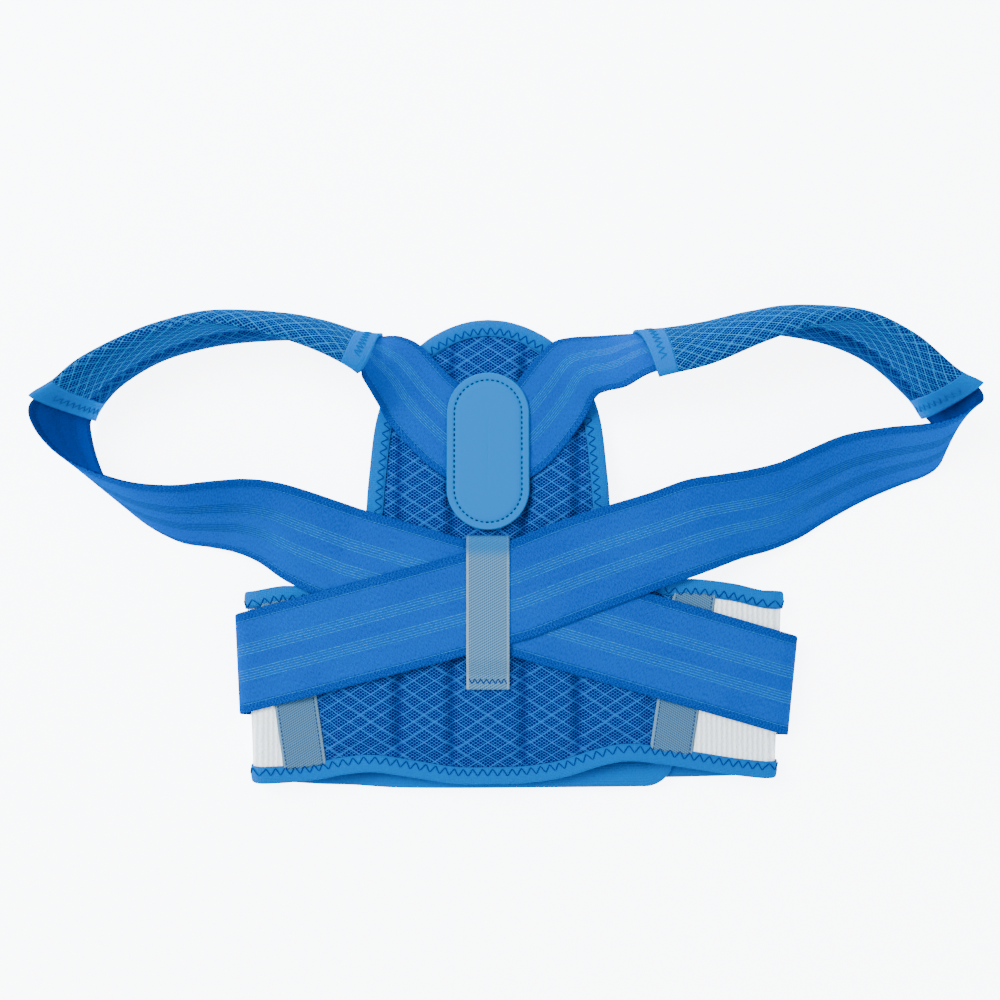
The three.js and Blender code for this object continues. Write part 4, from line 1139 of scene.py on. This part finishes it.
# Places on a strap's surface: distance along it, across in metres from its middle, off its face
def on_strap(surface, distance, across, off):
    rows, normals = surface["rows"], surface["normals"]
    at = np.interp(distance, surface["along"], np.arange(len(rows)))
    i = np.clip(np.floor(at).astype(int), 0, len(rows) - 2)
    part = (at - i)[..., None]
    share = np.clip(across / STRAP_WIDTH + 0.5, 0, 1)
    place = np.interp(share, surface["share"], np.arange(len(surface["share"])))
    j = np.clip(np.floor(place).astype(int), 0, len(surface["share"]) - 2)
    side_part = (place - j)[..., None]

    def sample(values):
        near = values[i, j] * (1 - side_part) + values[i, j + 1] * side_part
        far = values[i + 1, j] * (1 - side_part) + values[i + 1, j + 1] * side_part
        return near * (1 - part) + far * part

    edge = unit(rows[i, j + 1] - rows[i, j])
    extra = across - (share - 0.5) * STRAP_WIDTH
    return sample(rows) + edge * extra[..., None] + unit(sample(normals)) * off[..., None]


def pad_start(surface, route):
    return float(surface["along"][int(round(route["pad_row"] * LOOP_STEPS))])


def blunt(value, power):
    return np.sign(value) * np.abs(value) ** power


# A padded sleeve round a strap with open ends: plump in the middle and creased along its inner face
def sleeve(name, side, surface, run, thickness, crease, material, count):
    turn = ring_angles(SLEEVE_LANES)
    along = np.linspace(*run, count)
    wide = blunt(np.cos(turn), PAD_BLUNT) + 0 * along[:, None]
    deep = blunt(np.sin(turn), PAD_BLUNT * PAD_BLUNT_RISE)

    def skin(across, off):
        places = on_strap(surface, along[:, None] + 0 * across, across, off)
        return mirrored(places, SIDES[side]["sign"])

    across = (STRAP_WIDTH / 2 + PAD_MARGIN) * wide
    half = thickness((along - run[0]) / (run[1] - run[0]))[:, None] / 2
    fold = crease * np.exp(-(((across / STRAP_WIDTH + CREASE_SHARE) / CREASE_WIDTH_SHARE) ** 2)) * (deep < 0)
    outer = skin(across, deep * half + fold)
    inner = skin((STRAP_WIDTH / 2 + SLEEVE_GAP) * wide, deep * SLEEVE_GAP + 0 * across)
    middle = outer[count // 2]
    uv = flat_places(along, lengths(np.concatenate([middle, middle[:1]])))
    uv = np.concatenate([uv, uv[::-1], uv[:1]])
    return mesh_piece(name, np.concatenate([outer, inner[::-1]]), uv, True, [material])


def pad_thickness(share):
    bulge = np.sin(math.pi * np.clip(share, 0, 1)) ** 0.5
    return part_way(PAD_END_SHARE * PAD_THICKNESS, PAD_THICKNESS, bulge)


def pad_tape_thickness(share):
    return PAD_END_SHARE * PAD_THICKNESS + TAPE_THICKNESS + 0 * share


# The zigzag over one face of a sleeve's end tape, following its rounded section
def pad_zigzag(surface, low, face):
    across = zigzag_lanes(STRAP_WIDTH, PAD_STITCH_INSET, ZIGZAG_PITCH / 2)
    share = np.abs(across) / (STRAP_WIDTH / 2 + PAD_MARGIN)
    rise = (1 - share ** (2 / PAD_BLUNT)) ** (PAD_BLUNT * PAD_BLUNT_RISE / 2)
    off = face * ((PAD_END_SHARE * PAD_THICKNESS / 2 + TAPE_THICKNESS / 2) * rise + THREAD_LIFT)
    start = low + PAD_BINDING_LENGTH / 2 - ZIGZAG_WIDTH / 2
    return on_strap(surface, start + ZIGZAG_WIDTH * zigzag(len(across)), across, off)


def shoulder_pad(side, surface, route, mesh_material, tape_material, thread):
    start = pad_start(surface, route)
    end = start + PAD_LENGTH
    inner = PAD_BINDING_LENGTH - TAPE_LAP
    run = (start + inner, end - inner)
    pad = sleeve(f"{side}_pad", side, surface, run, pad_thickness, PAD_CREASE, mesh_material, PAD_STATIONS)
    pieces = [pad]
    for name, low in (("back", start), ("tip", end - PAD_BINDING_LENGTH)):
        tape_name = f"{side}_pad_tape_{name}"
        run = (low, low + PAD_BINDING_LENGTH)
        tape = sleeve(tape_name, side, surface, run, pad_tape_thickness, 0, tape_material, PAD_TAPE_STATIONS)
        lines = []
        for face in (-1, 1):
            points = mirrored(pad_zigzag(surface, low, face), SIDES[side]["sign"])
            lines += legs(points[:-1])
        stitches = threads(f"{side}_pad_stitches_{name}", lines, thread)
        pieces += [tape, stitches]
    return pieces


# The path of the keeper's webbing round both straps, as places along y and z
def keeper_path():
    middle = (KEEPER_BACK_LEVEL + KEEPER_FRONT_LEVEL) / 2
    end = KEEPER_TOP - WEBBING_THICKNESS / 2
    foot = KEEPER_FOOT + WEBBING_THICKNESS / 2
    bend = end - KEEPER_BEND_SHARE * KEEPER_BEND
    knots = [
        (foot + KEEPER_HEM_ROUND, KEEPER_BACK_LEVEL),
        (end - KEEPER_BEND, KEEPER_BACK_LEVEL),
        (bend, part_way(KEEPER_BACK_LEVEL, middle, KEEPER_ROUND_SHARE)),
        (end, middle),
        (bend, part_way(KEEPER_FRONT_LEVEL, middle, KEEPER_ROUND_SHARE)),
        (end - KEEPER_BEND, KEEPER_FRONT_LEVEL),
        (KEEPER_OPENING, KEEPER_FRONT_LEVEL),
        (
            part_way(KEEPER_SEAM, KEEPER_OPENING, KEEPER_ROUND_SHARE),
            part_way(KEEPER_SEWN_LEVEL, KEEPER_FRONT_LEVEL, KEEPER_ROUND_SHARE),
        ),
        (KEEPER_SEAM, KEEPER_SEWN_LEVEL),
        (foot + KEEPER_HEM_ROUND, KEEPER_SEWN_LEVEL),
        (foot, (KEEPER_BACK_LEVEL + KEEPER_SEWN_LEVEL) / 2),
    ]
    closed = np.array(knots + knots[:1])
    along = lengths(closed)
    at = np.linspace(0, along[-1], KEEPER_STATIONS)[:-1]
    path = places_on(closed, along, at)
    path = (np.roll(path, 1, axis=0) + path + np.roll(path, -1, axis=0)) / 3
    return path, at, float(along[-1])


def strap_keeper(material, thread):
    path, at, length = keeper_path()
    along = unit(np.roll(path, -1, axis=0) - np.roll(path, 1, axis=0))
    out = np.stack([along[:, 1], -along[:, 0]], axis=-1) * WEBBING_THICKNESS / 2
    across = np.linspace(0, WEBBING_WIDTH, KEEPER_LANES)
    rim = np.minimum(across, WEBBING_WIDTH - across)
    profile = np.clip(rim / WEBBING_RIM, KEEPER_RIM_SHARE, 1)

    def face(sign):
        spot = path[:, None] + sign * out[:, None] * profile[None, :, None]
        x = np.broadcast_to(across - WEBBING_WIDTH / 2, spot.shape[:2])
        return np.concatenate([x[..., None], spot], axis=-1)

    grid = np.concatenate([face(1), face(-1)[:, ::-1]], axis=1)
    uv = joined(flat_places(at, np.concatenate([across, across[::-1]])))
    piece = mesh_piece("keeper", grid, uv, True, [material])
    x = zigzag_lanes(WEBBING_WIDTH, KEEPER_STITCH_INSET, KEEPER_STITCH_RUN)
    y = KEEPER_FOOT + KEEPER_STITCH_FOOT + KEEPER_STITCH_SWING * zigzag(len(x))
    z = KEEPER_SEWN_LEVEL + WEBBING_THICKNESS / 2 + THREAD_LIFT + 0 * x
    stitches = threads("keeper_stitches", legs(np.stack([x, y, z], axis=-1)), thread)
    return piece, stitches


# Places on the oval patch at an inset from its edge: round ends and straight sides
def patch_grid(inset, angle):
    radius = PATCH_WIDTH / 2
    straight = PATCH_HEIGHT / 2 - radius
    side = np.clip(np.sin(angle) * PATCH_SIDE_SHARPNESS, -1, 1)
    x = (radius - inset) * np.cos(angle)
    y = PATCH_FOOT + PATCH_HEIGHT / 2 + (radius - inset) * np.sin(angle) + straight * side
    return x, y


# The oval patch over the sewn ends of the straps, dished along its stitch line
def back_patch(material, thread):
    radius = PATCH_WIDTH / 2
    share = np.concatenate([np.linspace(*rings) for rings in PATCH_RINGS])
    inset = radius * (1 - share)[:, None]
    x, y = patch_grid(inset, ring_angles(PATCH_SPOKES)[None, :])
    rim = np.clip(inset / PATCH_RIM, 0, 1)
    groove = PATCH_GROOVE * np.exp(-(((inset - PATCH_STITCH_INSET) / PATCH_GROOVE_WIDTH) ** 2))
    puff = PATCH_PUFF * smooth(inset, PATCH_STITCH_INSET, PATCH_STITCH_INSET + PATCH_PUFF_RUN)
    rounded = part_way(PATCH_RIM_SHARE, 1, np.sqrt(1 - (1 - rim) ** 2))
    height = PATCH_THICKNESS * rounded - groove + puff
    bottom = STRAP_OVER_PANEL + CLEARANCE
    top, base = (
        np.stack(np.broadcast_arrays(x, y, underside(y) + bottom + rise), axis=-1) for rise in (height, 0)
    )
    grid = capped(np.concatenate([top, base[::-1]]))
    uv = grid[..., :2]
    uv = np.concatenate([uv, uv[:, :1]], axis=1)
    piece = mesh_piece("patch", grid, uv, False, [material])
    x, y = patch_grid(PATCH_STITCH_INSET, np.linspace(0, 2 * math.pi, PATCH_STITCH_STATIONS))
    line = np.stack([x, y, underside(y) + bottom + PATCH_THICKNESS - PATCH_STITCH_DEPTH], axis=-1)
    stitches = threads("patch_stitches", dashes(line, *PATCH_STITCH), thread)
    return piece, stitches


def wear(pieces, node):
    for piece in pieces:
        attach(piece, "root")
    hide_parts(node)


# A square light that faces the middle of the frame
def area_light(name, place, size, power):
    light = bpy.data.lights.new(name, "AREA")
    light.energy = power
    light.size = size
    light.color = LIGHT_SHADE
    lamp = add_object(name, light)
    lamp.location = place
    x, y, z = place
    lamp.rotation_euler = (math.acos(z / math.hypot(x, y, z)), 0, math.atan2(-y, -x) - math.pi / 2)


def studio():
    floor_mesh = bpy.data.meshes.new("floor")
    corners = [(-1, -1), (1, -1), (1, 1), (-1, 1)]
    floor_mesh.from_pydata([(x * FLOOR_REACH, y * FLOOR_REACH, 0) for x, y in corners], [], [(0, 1, 2, 3)])
    paper, shader = matt("floor_paper", PAPER_ROUGHNESS)
    shader.inputs["Base Color"].default_value = colour(*PAPER_COLOUR)
    shader.inputs["Emission Color"].default_value = PAPER_GLOW_COLOUR
    shader.inputs["Emission Strength"].default_value = PAPER_GLOW
    floor_mesh.materials.append(paper)
    floor = add_object("floor", floor_mesh)
    floor.location.z = -FLOOR_DROP
    world = bpy.data.worlds.new("studio")
    bpy.context.scene.world = world
    world.use_nodes = True
    background = world.node_tree.nodes["Background"]
    background.inputs["Color"].default_value = WORLD_COLOUR
    background.inputs["Strength"].default_value = WORLD_STRENGTH
    for light in LIGHTS:
        area_light(**light)


def camera():
    lens = bpy.data.cameras.new("camera")
    lens.lens = CAMERA_LENS
    lens.sensor_width = CAMERA_SENSOR
    lens.clip_start = CAMERA_CLIP
    eye = add_object("camera", lens)
    eye.location = np.array(CAMERA_PLACE) + SHIFT
    bpy.context.scene.camera = eye


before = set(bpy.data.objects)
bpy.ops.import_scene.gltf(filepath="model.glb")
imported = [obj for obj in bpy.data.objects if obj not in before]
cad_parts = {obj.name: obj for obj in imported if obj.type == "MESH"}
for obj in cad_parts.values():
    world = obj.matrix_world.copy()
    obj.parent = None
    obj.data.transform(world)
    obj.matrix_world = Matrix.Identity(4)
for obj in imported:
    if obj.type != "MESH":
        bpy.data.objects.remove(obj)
SHIFT = shift_of_frame()
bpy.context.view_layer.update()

mesh_blue = air_mesh(
    "panel_mesh",
    bar=dyed(40, 138, 255),
    ground=dyed(46, 142, 255),
    hole=dyed(8, 10, 112),
    pitch=0.0019,
    wide=0.0124,
    tall=0.008,
    bar_share=0.16,
    hole_size=0.39,
    channel_shadows=[share * YOKE_HALF_WIDTH for share in QUILT_LINES],
)
pad_blue = air_mesh(
    "pad_mesh",
    bar=dyed(50, 172, 255),
    ground=dyed(34, 154, 255),
    hole=dyed(4, 10, 110),
    pitch=0.00195,
    wide=0.0092,
    tall=0.0068,
    bar_share=0.14,
    hole_size=0.39,
    shaded_lip=PAD_SHADED_LIP,
)
tape = tape_cloth("tape", light=dyed(0, 134, 238), dark=dyed(0, 98, 204))
outer_elastic = elastic(
    "elastic",
    field=dyed(0, 102, 226),
    dark=dyed(0, 82, 204),
    shade=dyed(0, 34, 124),
    light=dyed(60, 180, 255),
)
# The strap's inner face: a darker copy of the elastic with weaker glints, as painted shade
shaded_inner_elastic = elastic(
    "elastic_inner_shaded",
    field=dyed(0, 66, 168),
    dark=dyed(0, 52, 142),
    shade=dyed(0, 24, 96),
    light=dyed(30, 120, 220),
    inner=True,
)
webbing = twill_webbing(
    "webbing",
    light=dyed(128, 176, 212),
    dark=dyed(52, 100, 150),
    edge=dyed(160, 200, 228),
)
keeper_webbing = twill_webbing(
    "keeper_webbing",
    light=dyed(150, 204, 242),
    dark=dyed(52, 104, 156),
    edge=dyed(200, 224, 238),
    tint=dyed(0, 130, 210),
    tinted=KEEPER_TINT,
)
fleece = ribbed_fleece("fleece", light=colour(244, 246, 246), dark=colour(206, 213, 219))
patch_leather = leather("patch_leather", light=dyed(0, 142, 236), dark=dyed(0, 134, 226))
thread = plain("thread", dyed(0, 60, 155), THREAD_ROUGHNESS)
pad_thread = plain("pad_thread", dyed(0, 110, 205), THREAD_ROUGHNESS)
patch_thread = plain("patch_thread", dyed(0, 20, 60), THREAD_ROUGHNESS)

wear([back_panel(mesh_blue)], "back_panel")
wear(edge_binding(tape, thread), "edge_binding")
wear(strap_keeper(keeper_webbing, thread), "strap_keeper")
wear(back_patch(patch_leather, patch_thread), "back_patch")
for side, route in ROUTES.items():
    surface = strap_surface(route)
    wear([waist_wing(side, fleece)], f"{side}_waist_wing")
    wear(seam_webbing(side, webbing, thread), f"{side}_seam_webbing")
    strap = shoulder_strap(side, surface, [outer_elastic, shaded_inner_elastic])
    wear([strap], f"{side}_shoulder_strap")
    pad, *tapes = shoulder_pad(side, surface, route, pad_blue, tape, pad_thread)
    wear([pad], f"{side}_shoulder_pad")
    wear(tapes[:2], f"{side}_pad_binding_back")
    wear(tapes[2:], f"{side}_pad_binding_tip")

studio()
camera()
